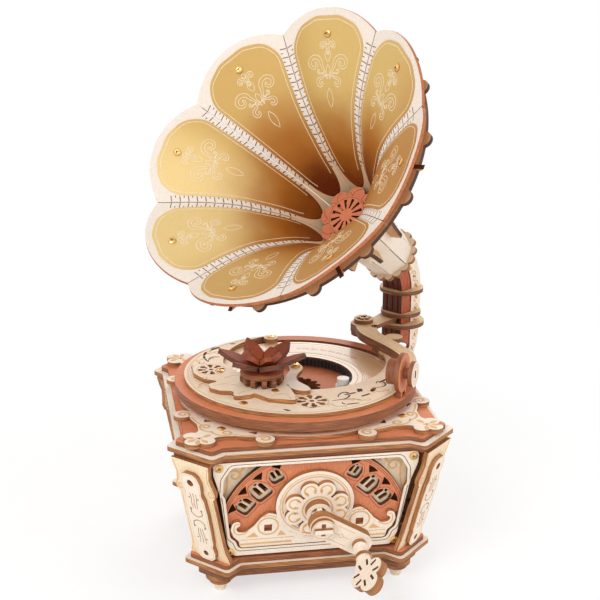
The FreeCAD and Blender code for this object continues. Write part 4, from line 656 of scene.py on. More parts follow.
ink_tan = ink("ink_tan", INLAY, TAN_DEEP, "tan_wood")
ink_dark = ink("ink_dark", SCORCH, BURNT, "dark_wood")
ink_brown = ink("ink_brown", BURNT_LIGHT, BURNT, "dark_wood")
ink_rust = ink("ink_rust", tone(150, 78, 50), tone(120, 58, 36), "brown_wood")
ink_faint = ink("ink_faint", tone(206, 178, 140), tone(188, 154, 114), "tan_wood")
# painted shade: dark strips for the shade in the screws' cross recesses
screw_recess_shade = ink("screw_recess_shade", tone(96, 74, 30), tone(64, 48, 20), "brass")
ink_ladder = ink("ink_ladder", tone(104, 72, 58), tone(72, 46, 36), "dark_wood")
ink_pale = ink("ink_pale", tone(240, 224, 196), tone(222, 200, 166), "gold_veneer")
# painted shade: near black for the dark seen through the cover's cuts
cut_shade_ink = ink("cut_shade_ink", tone(26, 15, 10), tone(16, 10, 8), "dark_wood")

# pieces in plywood: names, material, face and grain tones, plane of the sheet, cut edge and glue lines
for names, *recipe in (
        ("base_white_plate top_white_plate deck_scroll_plate deck_spacer pressure_bar",
         "cream_ply", CREAM, CREAM_SHADE),
        ("cover_crescent cover_overlay", "cover_ply", tone(245, 230, 208), tone(232, 206, 172)),
        ("column_collars hook_plate tonearm tonearm_knob",
         "khaki_ply", KHAKI, KHAKI_DEEP, "flat", DARK_EDGE, SCORCH),
        ("crown_wheel drive_gear", "tan_ply", CREAM_SHADE, TAN),
        ("base_top_plate top_brown_plates record_rings movement_plate guide_ring",
         "salmon_ply", SALMON, SALMON_DEEP, "flat", DARK_EDGE),
        ("base_frames lotus_hub", "dark_ply", SALMON_DEEP, RUST, "flat", DARK_EDGE, SCORCH),
        ("lotus_outer_petals", "lotus_ply", RUST, RUST_DEEP, "flat", tone(122, 66, 38), SCORCH, 0.62),
        ("lotus_inner_petals", "rust_ply", RUST, RUST_DEEP, "none"),
        ("wall_frames wall_scrolls wall_dials", "cream_wall", CREAM, CREAM_SHADE, "wall"),
        ("wall_backings", "tan_wall", CREAM_SHADE, TAN, "wall"),
        ("wall_lattices", "salmon_wall", SALMON, SALMON_DEEP, "wall", BURNT, SCORCH),
        ("corner_posts", "tan_post", tone(246, 228, 198), tone(234, 206, 164), "post"),
        ("post_overlays", "cream_post", CREAM, CREAM_SHADE, "post"),
        ("column_cheeks", "cream_column", CREAM, CREAM_SHADE, "column"),
        ("column_ribs column_blocks",
         "dark_column", tone(190, 94, 58), tone(150, 66, 40), "column", BURNT, SCORCH),
        ("horn_back_ring", "tan_axis", tone(226, 190, 142), tone(204, 162, 112), "axis", BURNT, SCORCH),
        ("horn_throat", "salmon_axis", tone(222, 132, 92), tone(196, 106, 68), "axis", BURNT, SCORCH),
        ("neck_ring", "cream_axis", CREAM_SHADE, TAN, "axis"),
        ("crank_arm crank_bushes", "cream_crank", CREAM, CREAM_SHADE, "crank"),
        ("handle_knob", "cream_knob", CREAM, CREAM_SHADE, "knob"),
        ("neck_staves crank_shaft crank_pinion bearing_board", "plain_cream", CREAM, CREAM_SHADE, "none")):
    dress(names, plywood(*recipe))
dress("feet", foot_ply("foot_ply"))
dress("horn_ribs", fin_ply("cream_fin", tone(214, 170, 122), tone(184, 132, 86), BURNT))
dress("horn_petals", petal_cream())
dress("gold_panels", gold_paper())
dress("sound_box", sound_ply("sound_ply"))
dress("handle_grip", grip_ply("grip_ply"))
dress("brass_screws star_wheels", metal("brass", tone(242, 204, 136), tone(210, 158, 88)))
dress("gear_posts spindle_sleeve comb handle_pin tonearm_pin",
      metal("steel", tone(206, 206, 210), tone(160, 160, 166)))
dress("drive_pinion", plastic("white_plastic", tone(242, 242, 238), tone(228, 228, 224), 0.35))
dress("record_ring_gear", plastic("dark_plastic", tone(58, 60, 62), tone(38, 40, 42), 0.4))
dress("glide_ring", clear_ring())
dress("record_disc", record_face())


# ---- shared outlines -------------------------------------------------------------------------
def soften(points, radius, steps=5):
    """Closed path with rounded corners."""
    out = []
    count = len(points)
    for i in range(count):
        corner = Vector(points[i])
        back = Vector(points[i - 1]) - corner
        ahead = Vector(points[(i + 1) % count]) - corner
        angle = back.angle(ahead)
        if angle > 3.1:
            out.append(tuple(corner))
            continue
        reach = min(radius / math.tan(angle / 2), 0.45 * back.length, 0.45 * ahead.length)
        first = corner + back.normalized() * reach
        last = corner + ahead.normalized() * reach
        for step in range(steps + 1):
            t = step / steps
            out.append(tuple(first * (1 - t) ** 2 + corner * 2 * t * (1 - t) + last * t ** 2))
    return out


def shrink(points, distance):
    """The same closed path, moved inwards."""
    turn = sum(points[i - 1][0] * points[i][1] - points[i][0] * points[i - 1][1]
               for i in range(len(points)))
    sign = 1.0 if turn > 0 else -1.0
    out = []
    count = len(points)
    for i in range(count):
        before = Vector(points[i - 1])
        here = Vector(points[i])
        after = Vector(points[(i + 1) % count])
        a = (here - before).normalized()
        b = (after - here).normalized()
        normal = Vector((-a.y - b.y, a.x + b.x)) * sign
        if normal.length < 1e-6:
            continue
        normal.normalize()
        share = max(normal.dot(Vector((-a.y, a.x)) * sign), 0.4)
        out.append(tuple(here + normal * (distance / share)))
    return out


def both_sides(side):
    """Closed outline from its right side, given from the bottom up."""
    return side + [(-u, v) for u, v in reversed(side)]


def hollow(path, widths):
    """Closed outline of a curl whose body follows a path, (start, middle, end) wide."""
    left = []
    right = []
    count = len(path)
    for i, width in enumerate(taper(count, *widths)):
        before = Vector(path[max(i - 1, 0)])
        after = Vector(path[min(i + 1, count - 1)])
        along = (after - before).normalized()
        side = Vector((-along.y, along.x)) * width / 2
        left.append(tuple(Vector(path[i]) + side))
        right.append(tuple(Vector(path[i]) - side))
    return left + right[::-1]


def lens(start, end, half, steps=9):
    """Pointed leaf between two points."""
    a = Vector(start)
    b = Vector(end)
    along = b - a
    side = Vector((-along.y, along.x)).normalized()
    left = []
    right = []
    for i in range(steps + 1):
        t = i / steps
        bulge = half * math.sin(math.pi * t) ** 0.8
        left.append(tuple(a + along * t + side * bulge))
        right.append(tuple(a + along * t - side * bulge))
    return left + right[-2:0:-1]


def curl_to(points, cx, cy, radius, start, end, tip=0.8):
    """Stem through points that runs into a spiral."""
    roll = spiral(cx, cy, radius, tip, start, end)
    return bend(points + [roll[0]]) + roll[1:]


def s_scroll(first, second, middle, tip=0.9):
    """Curl, stem and curl: each end is (x, y, radius, angle where the stem leaves, sweep)."""
    head = spiral(first[0], first[1], first[2], tip, first[3], first[3] + first[4])
    tail = spiral(second[0], second[1], second[2], tip, second[3], second[3] + second[4])
    return head[::-1] + bend([head[0]] + middle + [tail[0]])[1:] + tail[1:]


# ---- horn print -----------------------------------------------------------------------------
HORN_SCREW = 93.3            # horn's axis to the middle of a panel's screw
HORN_SLOPE = math.tan(math.pi / 8)
HORN_SHARE = math.cos(math.pi / 8)
PANEL_FOOT = 24.0            # where a panel starts, and where its straight sides end
PANEL_SHOULDER = 86.5
LADDER_END = 93.5            # rungs start here and stop before LADDER_FOOT
LADDER_FOOT = 30.0
SCROLL_EYE = 71.2            # middle of the big curls as drawn, and where it ends up after SQUEEZE
EYE_PLACE = 77.1
SQUEEZE = 0.79


def panel_edge(r):
    """Half width of a gold panel at a distance from the horn's axis."""
    return r * HORN_SLOPE - margin(r) / HORN_SHARE


def margin(r):
    """Seam to panel edge."""
    return 2.3 + (5.2 - 2.3) * (r - PANEL_FOOT) / (PANEL_SHOULDER - PANEL_FOOT)


def horn_sheets(names):
    """A drawing plane for each petal, with v from the horn's axis outwards."""
    for k in range(8):
        angle = PETAL_TURN + k * TAU / 8
        radial = HORN_H * math.cos(angle) + HORN_W * math.sin(angle)
        yield Sheet(names, HOME + HORN_P, radial.cross(HORN_N), radial, 60.0)


def panel_scrolls():
    """Outlines of one panel's scrollwork; u across, v from the horn's axis."""
    big = curl_to([(0.9, 61.0), (2.9, 65.6), (5.0, 69.6)], 11.4, 71.2, 5.8, 172, -230, 1.1)
    low = curl_to([(0.7, 63.4), (3.6, 62.8)], 6.6, 58.2, 3.4, 105, -215, 0.8)
    top = curl_to([(0.5, 77.5), (0.9, 81.0)], 4.1, 83.8, 2.7, 185, -170, 0.7)
    horn = curl_to([(3.4, 66.2), (4.4, 64.4)], 7.4, 66.2, 1.9, 215, 480, 0.5)
    half = [hollow(big, (0.5, 2.8, 1.1)), hollow(low, (0.5, 2.0, 1.0)),
            hollow(top, (0.4, 1.7, 0.8)), hollow(horn, (0.3, 1.0, 0.6))]
    middle = [lens((0, 72.6), (0, 81.6), 2.3), lens((0, 84.6), (0, 88.6), 1.3),
              lens((0, 63.0), (0, 70.6), 1.6), lens((0, 42.6), (0, 55.0), 2.3)]
    paths = half + [flip(path) for path in half] + middle
    return [[(u, EYE_PLACE + (v - SCROLL_EYE) * SQUEEZE) for u, v in path] for path in paths]


def ladder(dark, sheet, sign):
    """Rungs square to a seam, with a short tick from the panel between each two."""
    along = (sign * math.sin(math.pi / 8), math.cos(math.pi / 8))
    inward = (-sign * math.cos(math.pi / 8), math.sin(math.pi / 8))

    def spot(reach, out):
        return (along[0] * reach + inward[0] * out, along[1] * reach + inward[1] * out)

    reach = LADDER_END
    while reach > LADDER_FOOT:
        width = margin(reach * HORN_SHARE)
        step = 3.0 + 0.024 * reach
        dark.stroke(sheet, [spot(reach, 0.6), spot(reach, width - 0.2)], 0.5)
        tick = reach - step / 2
        dark.stroke(sheet, [spot(tick, width * 0.66), spot(tick, width - 0.2)], 0.5)
        reach -= step


def horn_print():
    pale = Deco("horn_scrolls", ink_pale, 0.07)
    dark = Deco("horn_kerfs", ink_ladder)
    side = [(panel_edge(PANEL_FOOT), PANEL_FOOT), (panel_edge(PANEL_SHOULDER), PANEL_SHOULDER),
            (24.2, 98.0), (10.0, 103.4)]
    border = soften(shrink(both_sides(side), 2.0), 12.0, 9)
    scrolls = panel_scrolls()
    for sheet in horn_sheets("gold_panels horn_petals"):
        for path in scrolls:
            pale.stroke(sheet, path, 0.4, True)
        pale.stroke(sheet, border, 0.42, True)
        for sign in (-1, 1):
            ladder(dark, sheet, sign)


def throat_print():
    """Scorched lines on the throat's leaves and round its slotted disc."""
    rust = Deco("throat_leaf_lines", ink_rust)
    sheet = Sheet("horn_throat", HOME + HORN_P, HORN_H, HORN_N.cross(HORN_H), 80.0)
    for k in range(8):
        rim = arc_path(16.0, 0, 6.2, -100, 100, 14)
        rust.stroke(sheet, moved(rim, 0, 0, math.degrees(PETAL_TURN) + 45.0 * k), 0.45)
    rust.stroke(sheet, ring_path(13.8, 60), 0.35, True)


# ---- walls -----------------------------------------------------------------------------------
def spin(degrees):
    return Matrix.Rotation(math.radians(degrees), 3, "Z")


def wall_sheet(names, side, reach=12.0):
    turn = spin(90 * side)
    up = Vector((0, -math.sin(WALL_LEAN), math.cos(WALL_LEAN)))
    origin = Vector((0, -69.3, 26.0)) * MM
    return Sheet(names, HOME + turn @ origin, turn @ Vector((1, 0, 0)), turn @ up, reach)


WALL_OPENING = both_sides([(48.0, 8.0), (50.0, 14.0), (53.5, 17.0), (57.0, 48.0), (58.5, 50.5),
                           (58.0, 62.0), (53.0, 70.8)])
ARCH_Y = 18.3                # middle and outer radius of the walls' arch
ARCH_RADIUS = 60.6
# lancet windows: middle, width, height and turn in degrees
WINDOWS = [(44.0, 39.0, 12.0, 11.0, -52.0), (34.8, 49.3, 12.0, 13.5, -42.0), (25.2, 60.0, 9.0, 10.0, -30.0)]
DIAL_Y = 39.0
CRANK_X = 1.0
CRANK_Y = 37.0


def wall_prints():
    tan = Deco("wall_scroll_lines", ink_tan)
    dark = Deco("wall_kerfs", ink_dark)
    rust = Deco("wall_arch_lines", ink_rust)
    frame_line = soften(shrink(WALL_OPENING, -1.9), 5.5, 6)
    for side in range(4):
        frames = wall_sheet("wall_frames", side)
        dark.stroke(frames, frame_line, 0.42, True)
        corners = wall_sheet("wall_backings", side, 14.0)
        for sign in (-1, 1):
            curl = curl_to([(57.0, 44.0), (55.4, 52.0)], 50.6, 60.6, 4.8, 0, 420, 1.2)
            tan.stroke(corners, flip(curl, sign), (0.8, 1.9, 0.9))
            for spot, tip in (((43.0, 69.2), (47.4, 62.4)), ((38.4, 69.4), (42.6, 64.4)),
                              ((56.4, 69.0), (53.8, 66.2))):
                tan.patch(corners, lens((sign * spot[0], spot[1]), (sign * tip[0], tip[1]), 1.0))
        lattice = wall_sheet("wall_lattices", side, 14.0)
        for radius in (ARCH_RADIUS - 1.2, ARCH_RADIUS - 2.4):
            rust.stroke(lattice, arc_path(0.0, ARCH_Y, radius, 2, 178, 90), 0.35)
        for x, y, width, height, degrees in WINDOWS:
            for sign in (-1, 1):
                half = width / 2 + 1.5
                tall = height / 2 + 1.5
                outline = soften([(-half, -tall), (half, -tall), (half, tall * 0.2), (half * 0.5, tall),
                                  (-half * 0.5, tall), (-half, tall * 0.2)], 3.0)
                rust.stroke(lattice, moved(outline, sign * x, y, sign * degrees), 0.35, True)
        scroll_print(tan, wall_sheet("wall_scrolls", side))
        dial_print(tan, wall_sheet("wall_dials", side), side == 0)


def scroll_print(tan, sheet):
    for sign in (-1, 1):
        eye = sign * 29.5
        tan.stroke(sheet, ring_path(6.4, 40, eye, 24.2), 1.1, True)
        ridge = bend([(15.0, 18.2), (19.6, 24.6), (23.4, 30.0), (29.5, 32.4), (35.4, 30.0), (39.6, 24.4),
                      (44.6, 19.6), (49.4, 19.6), (51.2, 23.0), (50.4, 27.0), (47.6, 27.2)])
        tan.stroke(sheet, flip(ridge, sign), (0.5, 0.9, 0.7))
        tan.patch(sheet, flip([(17.6, 16.4), (23.4, 16.4), (21.4, 20.4)], sign))
        tan.patch(sheet, flip([(35.6, 16.4), (43.6, 16.4), (38.4, 20.2)], sign))
        for start, end, v, width in ((13.0, 48.4, 14.6, 0.5), (14.0, 47.4, 11.2, 1.5),
                                     (13.0, 46.8, 9.2, 0.3)):
            tan.stroke(sheet, flip([(start, v), (end, v)], sign), width)


def dial_print(tan, sheet, flower):
    centre = (0.0, DIAL_Y)
    tan.stroke(sheet, ring_path(22.4, 80, *centre), 0.55, True)
    tan.stroke(sheet, ring_path(20.9, 80, *centre), 0.9, True)
    x, y = (CRANK_X, CRANK_Y) if flower else centre
    for k in range(8):
        turn = 90 * (k // 2) + (19.5 if k % 2 else -19.5)
        trefoil = arc_path(15.4, 0, 3.5, -150, 150, 20)
        tan.stroke(sheet, moved(trefoil, x, y, turn), (1.5, 0.9, 1.5))
        for spot in ((14.2, 2.5), (14.2, -2.5)):
            tan.patch(sheet, moved(ring_path(0.8, 10, *spot), x, y, turn))
    tan.stroke(sheet, ring_path(9.6, 40, x, y), 0.9, True)
    if not flower:
        for k in range(4):
            tan.patch(sheet, moved(lens((3.0, 0), (8.4, 0), 1.5), x, y, 45 + 90 * k))
            tan.patch(sheet, moved(lens((2.4, 0), (8.0, 0), 1.0), x, y, 90 * k))


# ---- corner posts ----------------------------------------------------------------------------
POST_MIDDLE = 34.6           # height of the lyres' mirror line on a post


def post_sheet(names, corner):
    turn = spin(90 * corner)
    outward = Vector((math.sqrt(0.5), -math.sqrt(0.5), 0))
    across = Vector((math.sqrt(0.5), math.sqrt(0.5), 0))
    up = outward * math.sin(POST_LEAN) + Vector((0, 0, math.cos(POST_LEAN)))
    origin = outward * (92.3 * MM) + Vector((0, 0, 0.026))
    return Sheet(names, HOME + turn @ origin, turn @ across, turn @ up, 10.0)


def post_prints():
    tan = Deco("post_lines", ink_tan)
    dark = Deco("post_lyres", ink_brown)
    rim = soften(shrink(both_sides([(3.5, 1.0), (6.9, 3.6), (7.7, 8.5), (6.6, 12.5), (7.9, 16.0),
                                    (8.3, 28.0), (8.7, 40.0), (8.1, 50.0), (6.6, 54.0), (7.3, 58.0),
                                    (7.7, 63.0), (6.1, 67.4), (3.3, 69.4)]), 1.1), 2.0)
    for corner in range(4):
        overlay = post_sheet("post_overlays", corner)
        tan.stroke(overlay, rim, 0.25, True)
        for sign in (-1, 1):

            def lift(path):
                return [(u, POST_MIDDLE + sign * (v - POST_MIDDLE)) for u, v in path]

            for u in (-1.7, 0.0, 1.7):
                string = bend([(u * 0.9, 42.6), (u * 1.2 - 0.3, 46.5), (u * 1.2 + 0.3, 50.5),
                               (u * 1.4, 54.4)], 5)
                dark.stroke(overlay, lift(string), 0.42)
            bowl = bend([(-4.2, 41.0), (-4.0, 38.0), (0.0, 36.0), (4.0, 38.0), (4.2, 41.0)])
            dark.stroke(overlay, lift(bowl), (0.6, 0.5, 0.6))
            for radius, u, v in ((0.75, 4.2, 41.6), (0.6, 3.4, 50.6)):
                for side in (-u, u):
                    dark.patch(overlay, lift(ring_path(radius, 10, side, v)))
        board = post_sheet("corner_posts", corner)
        for sign in (-1, 1):
            volute = curl_to([(13.6, 75.0), (11.9, 68.0), (12.2, 62.0)], 12.3, 55.2, 2.7, 10, -440, 0.7)
            tan.stroke(board, flip(volute, sign), (0.6, 0.9, 0.6))
            tan.stroke(board, flip([(11.9, 14.0), (11.9, 48.0)], sign), 0.45)
            tan.stroke(board, flip([(14.6, 2.0), (12.6, 8.0), (11.9, 14.0)], sign), 0.45)


# ---- deck and cover --------------------------------------------------------------------------
DECK_FLOWER = (71.8, -71.8)  # middle of the flower at a corner of the deck


def level_sheet(names, z, turn=0.0):
    axes = spin(turn)
    return Sheet(names, HOME + UP * (z * MM), axes @ Vector((1, 0, 0)), axes @ Vector((0, 1, 0)))


def deck_prints():
    tan = Deco("deck_scrolls", ink_tan)
    dark = Deco("deck_kerfs", ink_brown, 0.04)
    for corner in range(4):
        sheet = level_sheet("deck_scroll_plate", 112.0, 90 * corner)
        for swap in (False, True):

            def place(path):
                return [(-v, -u) for u, v in path] if swap else path

            for points, *roll in (
                    ([(63.6, -62.6), (61.8, -66.6), (58.4, -69.2)], 54.6, -66.2, 3.6, -80, -500, 0.9),
                    ([(51.0, -68.8), (44.6, -71.6), (38.6, -73.4)], 32.2, -78.2, 3.9, 62, 500, 0.9)):
                tan.stroke(sheet, place(curl_to(points, *roll)), (0.9, 2.0, 1.0))
        for turn in (-15, -60, -105, 30, 120):
            tan.patch(sheet, moved(lens((2.4, 0), (9.2, 0), 1.6), *DECK_FLOWER, turn))
        tan.stroke(sheet, arc_path(*DECK_FLOWER, 2.0, 100, 430, 16), 0.6)
        plate = level_sheet("top_brown_plates", 109.0, 90 * corner)
        line = bend([(24.0, -80.4), (52.0, -80.4), (58.0, -82.4), (66.0, -82.4), (82.4, -66.0)], 4)
        dark.stroke(plate, line, 0.35)


HOOK = (0.4, 1.8, 0.5)
# dark cuts in the cover, painted near black as the shade seen through them: points of a curve and its start,
# middle and end width
COVER_CUTS = [
    ([(18.8, -50.6), (20.1, -46.9), (22.7, -43.7), (25.8, -43.1), (27.1, -46.5), (25.8, -50.7), (22.7, -53.7),
      (19.0, -55.2)], (0.4, 1.7, 0.4)),
    ([(13.9, -55.9), (20.5, -54.6), (25.9, -54.6), (32.6, -56.7)], (0.5, 1.0, 0.4)),
    ([(48.6, -30.6), (49.8, -27.7), (52.0, -26.8), (53.8, -28.6), (54.2, -32.9), (52.6, -36.0),
      (49.4, -37.5), (45.0, -37.5)], (0.6, 1.6, 0.5)),
    ([(19.8, -58.9), (19.9, -61.0), (21.2, -62.4), (23.7, -61.6)], (0.5, 1.2, 0.4)),
    ([(-52.9, 45.9), (-51.5, 52.0), (-48.4, 54.5), (-45.3, 51.1), (-45.7, 44.9), (-48.5, 41.1)], HOOK),
    ([(-54.5, 44.1), (-57.6, 38.4), (-57.7, 32.3), (-55.2, 23.9)], HOOK),
    ([(-55.8, 28.0), (-54.2, 33.0), (-51.2, 35.4), (-46.8, 34.7)], HOOK),
    ([(-67.4, 12.2), (-67.2, 16.8), (-65.5, 18.8)], HOOK)]
COVER_VEINS = [[(-66, -4), (-61, 2), (-60, 10)], [(-58, -26), (-50, -24), (-42, -28)],
               [(-44, -42), (-38, -38), (-32, -36)], [(-24, -50), (-18, -46), (-12, -48)],
               [(-50, -14), (-44, -10), (-38, -12)], [(-12, -56), (-14, -50), (-20, -46)]]


def cover_prints():
    faint = Deco("cover_lines", ink_faint, 0.04)
    # painted shade seen through the cover's cuts, as near black strokes and patches
    cut_shade = Deco("cover_cuts", cut_shade_ink, 0.03)
    sheet = level_sheet("cover_crescent cover_overlay", 122.0)
    for radius in (72.6, 71.6):
        faint.stroke(sheet, arc_path(0, 0, radius, 100, 380, 120), 0.3)
    for x, y, radius in ((1.3, -54.0, 10.0), (-56.4, 3.5, 9.0)):
        faint.stroke(sheet, ring_path(radius + 0.6, 48, x, y), 0.4, True)
    for turn, reach in ((-62, 66), (-44, 66), (-30, 66), (-78, 66.5), (136, 66), (150, 67), (166, 67),
                        (192, 67)):
        vine = s_scroll((reach - 3.4, -2.0, 2.2, 60, 330), (reach + 1.6, 6.0, 2.0, 250, 330),
                        [(reach + 0.5, 1.0)], 0.6)
        faint.stroke(sheet, moved(vine, 0, 0, turn), (0.4, 0.8, 0.4))
    for turn, reach, size in ((-104, 68.6, 2.6), (120, 70.0, 2.0)):
        blade = lens((reach - 1.2, -size), (reach + 1.2, size), 1.0)
        cut_shade.patch(sheet, moved(blade, 0, 0, turn))
    for points, widths in COVER_CUTS:
        cut_shade.stroke(sheet, bend(points), widths)
    moon = bend([(-4.6, -62.1), (-0.3, -64.8), (4.7, -63.6)], 8)
    cut_shade.stroke(sheet, moon, (0.3, 1.2, 0.3))
    cut_shade.patch(sheet, [(33.8, -38.0), (37.2, -38.2), (36.8, -42.9), (33.2, -43.8)])
    cut_shade.patch(sheet, lens((40.5, -43.5), (47.9, -40.8), 0.8))
    for u, v in ((-30.6, 69.6), (-62.6, 25.1)):
        cut_shade.patch(sheet, ring_path(0.8, 12, u, v))
    for vein in COVER_VEINS:
        faint.stroke(sheet, bend(vein), 0.4)


def record_prints():
    """Printed face of the record, with a wreath of small curls instead of lettering."""
    face = NODES["record_disc"].material_slots[0].material
    skin = Deco("record_print", (face, "white_wood"), 0.05, "record")
    brown = Deco("record_wreath", ink_brown, 0.09, "record")
    sheet = level_sheet("record_disc", 122.0)
    skin.stroke(sheet, ring_path(54.6, 160), 15.4, True)
    for k in range(15):
        curl = spiral(54.6, 0, 1.5, 0.5, 60 + 90 * (k % 2), 420 + 90 * (k % 2), 18)
        brown.stroke(sheet, moved(curl, 0, 0, 30.0 + 3.4 * k), 0.3)
    for reach in (42.0, 45.4, 65.0):
        brown.stroke(sheet, ring_path(reach, 120), 0.25, True)


# ---- column, arm and crank -------------------------------------------------------------------
ARM_STEP = (23.8, -15.4)     # from the crank's shaft to the handle's pin, on the wall's plane


def column_prints():
    tan = Deco("column_scrolls", ink_tan)
    out = Vector((0.79116, 0.61161, 0))
    middle = HOME + Vector((97.3, 95.8, 0)) * MM
    curls = [(u, v, 2.6, 380, 1.2, 180 * (k % 2) + max(k - 3, 0) * 28)
             for k, (u, v) in enumerate(((5.4, 126.0), (5.6, 135.0), (5.6, 144.4), (5.0, 153.4),
                                         (2.6, 161.0), (-2.6, 167.4)))]
    curls += [(u, v, 2.4, 360, 1.1, -20)
              for u, v in ((-4.0, 70.0), (-8.0, 80.0), (-2.0, 92.0), (3.0, 104.0), (6.0, 114.0))]
    for sign in (-1, 1):
        sheet = Sheet("column_cheeks", middle, out * sign, UP, 16.0)
        for u, v, radius, sweep, width, turn in curls:
            curl = s_scroll((0.8, 2.4, radius, 200, sweep), (-0.6, -2.4, 2.2, 20, sweep), [(0.0, 0.2)], 0.7)
            tan.stroke(sheet, flip(moved(curl, u, v, turn), sign), (0.7, width, 0.7))


def crank_prints():
    tan = Deco("crank_lines", ink_tan, 0.05, "crank")
    dark = Deco("crank_slots", ink_rust, 0.06, "crank")
    sheet = wall_sheet("crank_arm crank_shaft", 0, 40.0)
    reach = math.hypot(*ARM_STEP)
    turn = math.degrees(math.atan2(ARM_STEP[1], ARM_STEP[0]))
    half = reach / 2
    for path in ([(8.0, -5.6), (reach - 7.0, -5.6)], [(8.0, 5.6), (reach - 7.0, 5.6)],
                 [(9.4, 0), (half - 2.2, 0), (half, 1.5), (half + 2.2, 0), (reach - 8.0, 0)],
                 [(half - 2.2, 0), (half, -1.5), (half + 2.2, 0)]):
        tan.stroke(sheet, moved(path, CRANK_X, CRANK_Y, turn), 0.4)
    tan.stroke(sheet, ring_path(6.6, 40, CRANK_X, CRANK_Y), 0.5, True)
    for low in (CRANK_Y - 4.6, CRANK_Y + 1.6):
        dark.patch(sheet, [(CRANK_X - 1.3, low), (CRANK_X + 1.3, low),
                           (CRANK_X + 1.3, low + 3.0), (CRANK_X - 1.3, low + 3.0)])


def sound_box_prints():
    dark = Deco("sound_box_slot", ink_dark, 0.05, "tonearm")
    tan = Deco("sound_box_rings", ink_tan, 0.05, "tonearm")
    across = UP.cross(SHEET_AXES["sound"])
    sheet = Sheet("sound_box", HOME + Vector((61.5, -46.0, 137.6)) * MM, across, UP, 20.0)
    dark.patch(sheet, soften([(-1.3, -2.6), (1.3, -2.6), (1.3, 2.6), (-1.3, 2.6)], 1.2))
    for radius in (4.6, 6.4):
        tan.stroke(sheet, ring_path(radius, 40), 0.35, True)
    tan.stroke(sheet, ring_path(10.6, 48), 0.4, True)


def tonearm_prints():
    tan = Deco("tonearm_lines", ink_tan, 0.05, "tonearm")
    sheet = level_sheet("tonearm", 136.0)
    for shift in (-3.2, 3.2):
        line = bend([(58.0 + shift, 50.0), (60.0 + shift, 42.0), (64.5 + shift, 26.0), (71.0 + shift, 8.0),
                     (74.5 + shift, -8.0), (72.0 + shift, -22.0)], 8)
        tan.stroke(sheet, line, 0.35)
    tan.stroke(sheet, ring_path(4.6, 30, 77.0, 36.5), 0.5, True)


# ---- screw slots: painted shade in their cross recesses --------------------------------------
def cross(deco, sheet, u, v, size, turn):
    for angle in (0, 90):
        bar = moved([(-size, 0), (0, 0), (size, 0)], u, v, turn + angle)
        deco.stroke(sheet, bar, size * 0.42)


def screw_prints():
    dark = Deco("screw_slots", screw_recess_shade, 0.04)
    for side in range(4):
        sheet = wall_sheet("brass_screws", side)
        for k, (u, v) in enumerate(((61.0, 71.0), (-61.0, 71.0), (53.3, 6.0), (-53.3, 6.0))):
            cross(dark, sheet, u, v, 1.3, 25 * k + 10)
        cross(dark, level_sheet("brass_screws", 113.0, 90 * side), 60.0, -57.0, 1.3, 20 * side)
    sheet = level_sheet("brass_screws", 128.0)
    for k, (u, v) in enumerate(((-51.0, -1.0), (-42.0, -52.0), (-20.0, -41.5), (69.0, 26.0), (-6.0, 71.0),
                                (0.0, 0.0))):
        cross(dark, sheet, u, v, 1.3, 35 * k)
    for k, sheet in enumerate(horn_sheets("brass_screws")):
        cross(dark, sheet, 0.0, HORN_SCREW, 1.5, 30 * k)


for draw in (horn_print, throat_print, wall_prints, post_prints, deck_prints, cover_prints, record_prints,
             column_prints, crank_prints, sound_box_prints, tonearm_prints, screw_prints):
    draw()
for deco in Deco.drawn:
    deco.build()


# ---- camera, light and floor ----------------------------------------------------------------
CAMERA_PLACE = Vector((-131.76, -758.05, 416.48)) * MM
AZIMUTH = math.radians(-10.06)
ELEVATION = math.radians(17.42)
ROLL = math.radians(0.49)
FOCAL = 1220.68 / 600.0      # focal length in widths of the picture
SENSOR = 36.0


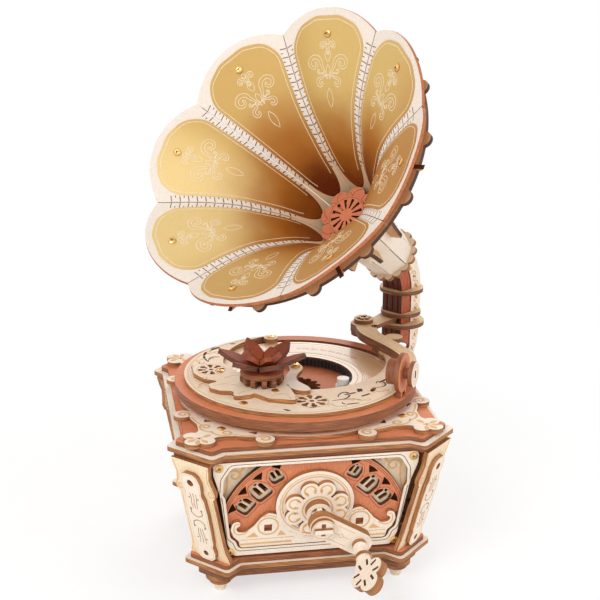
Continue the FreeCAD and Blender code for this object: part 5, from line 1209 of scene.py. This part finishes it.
def set_camera():
    back = Vector((math.sin(AZIMUTH) * math.cos(ELEVATION), -math.cos(AZIMUTH) * math.cos(ELEVATION),
                   math.sin(ELEVATION)))
    right = (-back).cross(UP).normalized()
    up = back.cross(right)
    side = right * math.cos(ROLL) + up * math.sin(ROLL)
    top = up * math.cos(ROLL) - right * math.sin(ROLL)
    data = bpy.data.cameras.new("camera")
    data.sensor_fit = "HORIZONTAL"
    data.sensor_width = SENSOR
    data.lens = FOCAL * SENSOR
    data.clip_start = 0.01
    camera = link("camera", data)
    axes = Matrix((side, top, back)).transposed().to_4x4()
    camera.matrix_world = Matrix.Translation(HOME + CAMERA_PLACE) @ axes
    bpy.context.scene.camera = camera


def area(name, place, target, size, power):
    data = bpy.data.lights.new(name, "AREA")
    data.shape = "SQUARE"
    data.size = size
    data.energy = power
    light = link(name, data)
    light.location = place
    light.rotation_euler = (Vector(target) - Vector(place)).to_track_quat("-Z", "Y").to_euler()


def blend(tree, share, first, second, surface):
    """Shows the first shader, or the second where share is 1."""
    made = tree.node("MixShader", share, first.outputs[0], second.outputs[0])
    tree.put(surface, made.outputs[0])


def paper():
    """Pale floor that keeps the shadow near the object and meets the white background further out."""
    shade = Shade("floor_paper")
    shade.finish(shade.mix(shade.noise(6.0, detail=2.0), (0.93, 0.93, 0.93, 1), (0.96, 0.96, 0.96, 1)), 0.95)
    x, y, _ = shade.split(shade.place)
    share = shade.math("MULTIPLY_ADD", shade.ramp(shade.length(x, y), 0.12, 0.42), 0.38, 0.62)
    white = shade.node("Emission", (1, 1, 1, 1), 1.0)
    blend(shade, shade.times(share, shade.seen_rays()), shade.bsdf, white,
          shade.tree.nodes["Material Output"].inputs["Surface"])
    return shade.mat


def set_stage():
    mesh = bpy.data.meshes.new("floor")
    mesh.from_pydata([(-4, -4, 0), (4, -4, 0), (4, 4, 0), (-4, 4, 0)], [], [(0, 1, 2, 3)])
    mesh.materials.append(paper())
    floor = link("floor", mesh)
    floor.location.z = -0.0002
    world = bpy.data.worlds.new("studio")
    bpy.context.scene.world = world
    world.use_nodes = True
    world.node_tree.nodes.clear()
    sky = Tree(world.node_tree)
    light = sky.node("Background", (1.0, 0.985, 0.965, 1), 0.62)
    seen = sky.node("Background", (1, 1, 1, 1), 1.0)
    blend(sky, sky.seen_rays(), light, seen, sky.node("OutputWorld").inputs["Surface"])


set_camera()
set_stage()
area("key", (-0.9, -1.1, 1.3), (0, 0, 0.15), 0.9, 16.0)
area("fill", (1.2, -0.9, 0.7), (0, 0, 0.15), 1.0, 6.0)
area("back", (0.5, 1.2, 1.0), (0, 0, 0.2), 0.9, 8.0)
bpy.context.scene.view_settings.view_transform = "Standard"
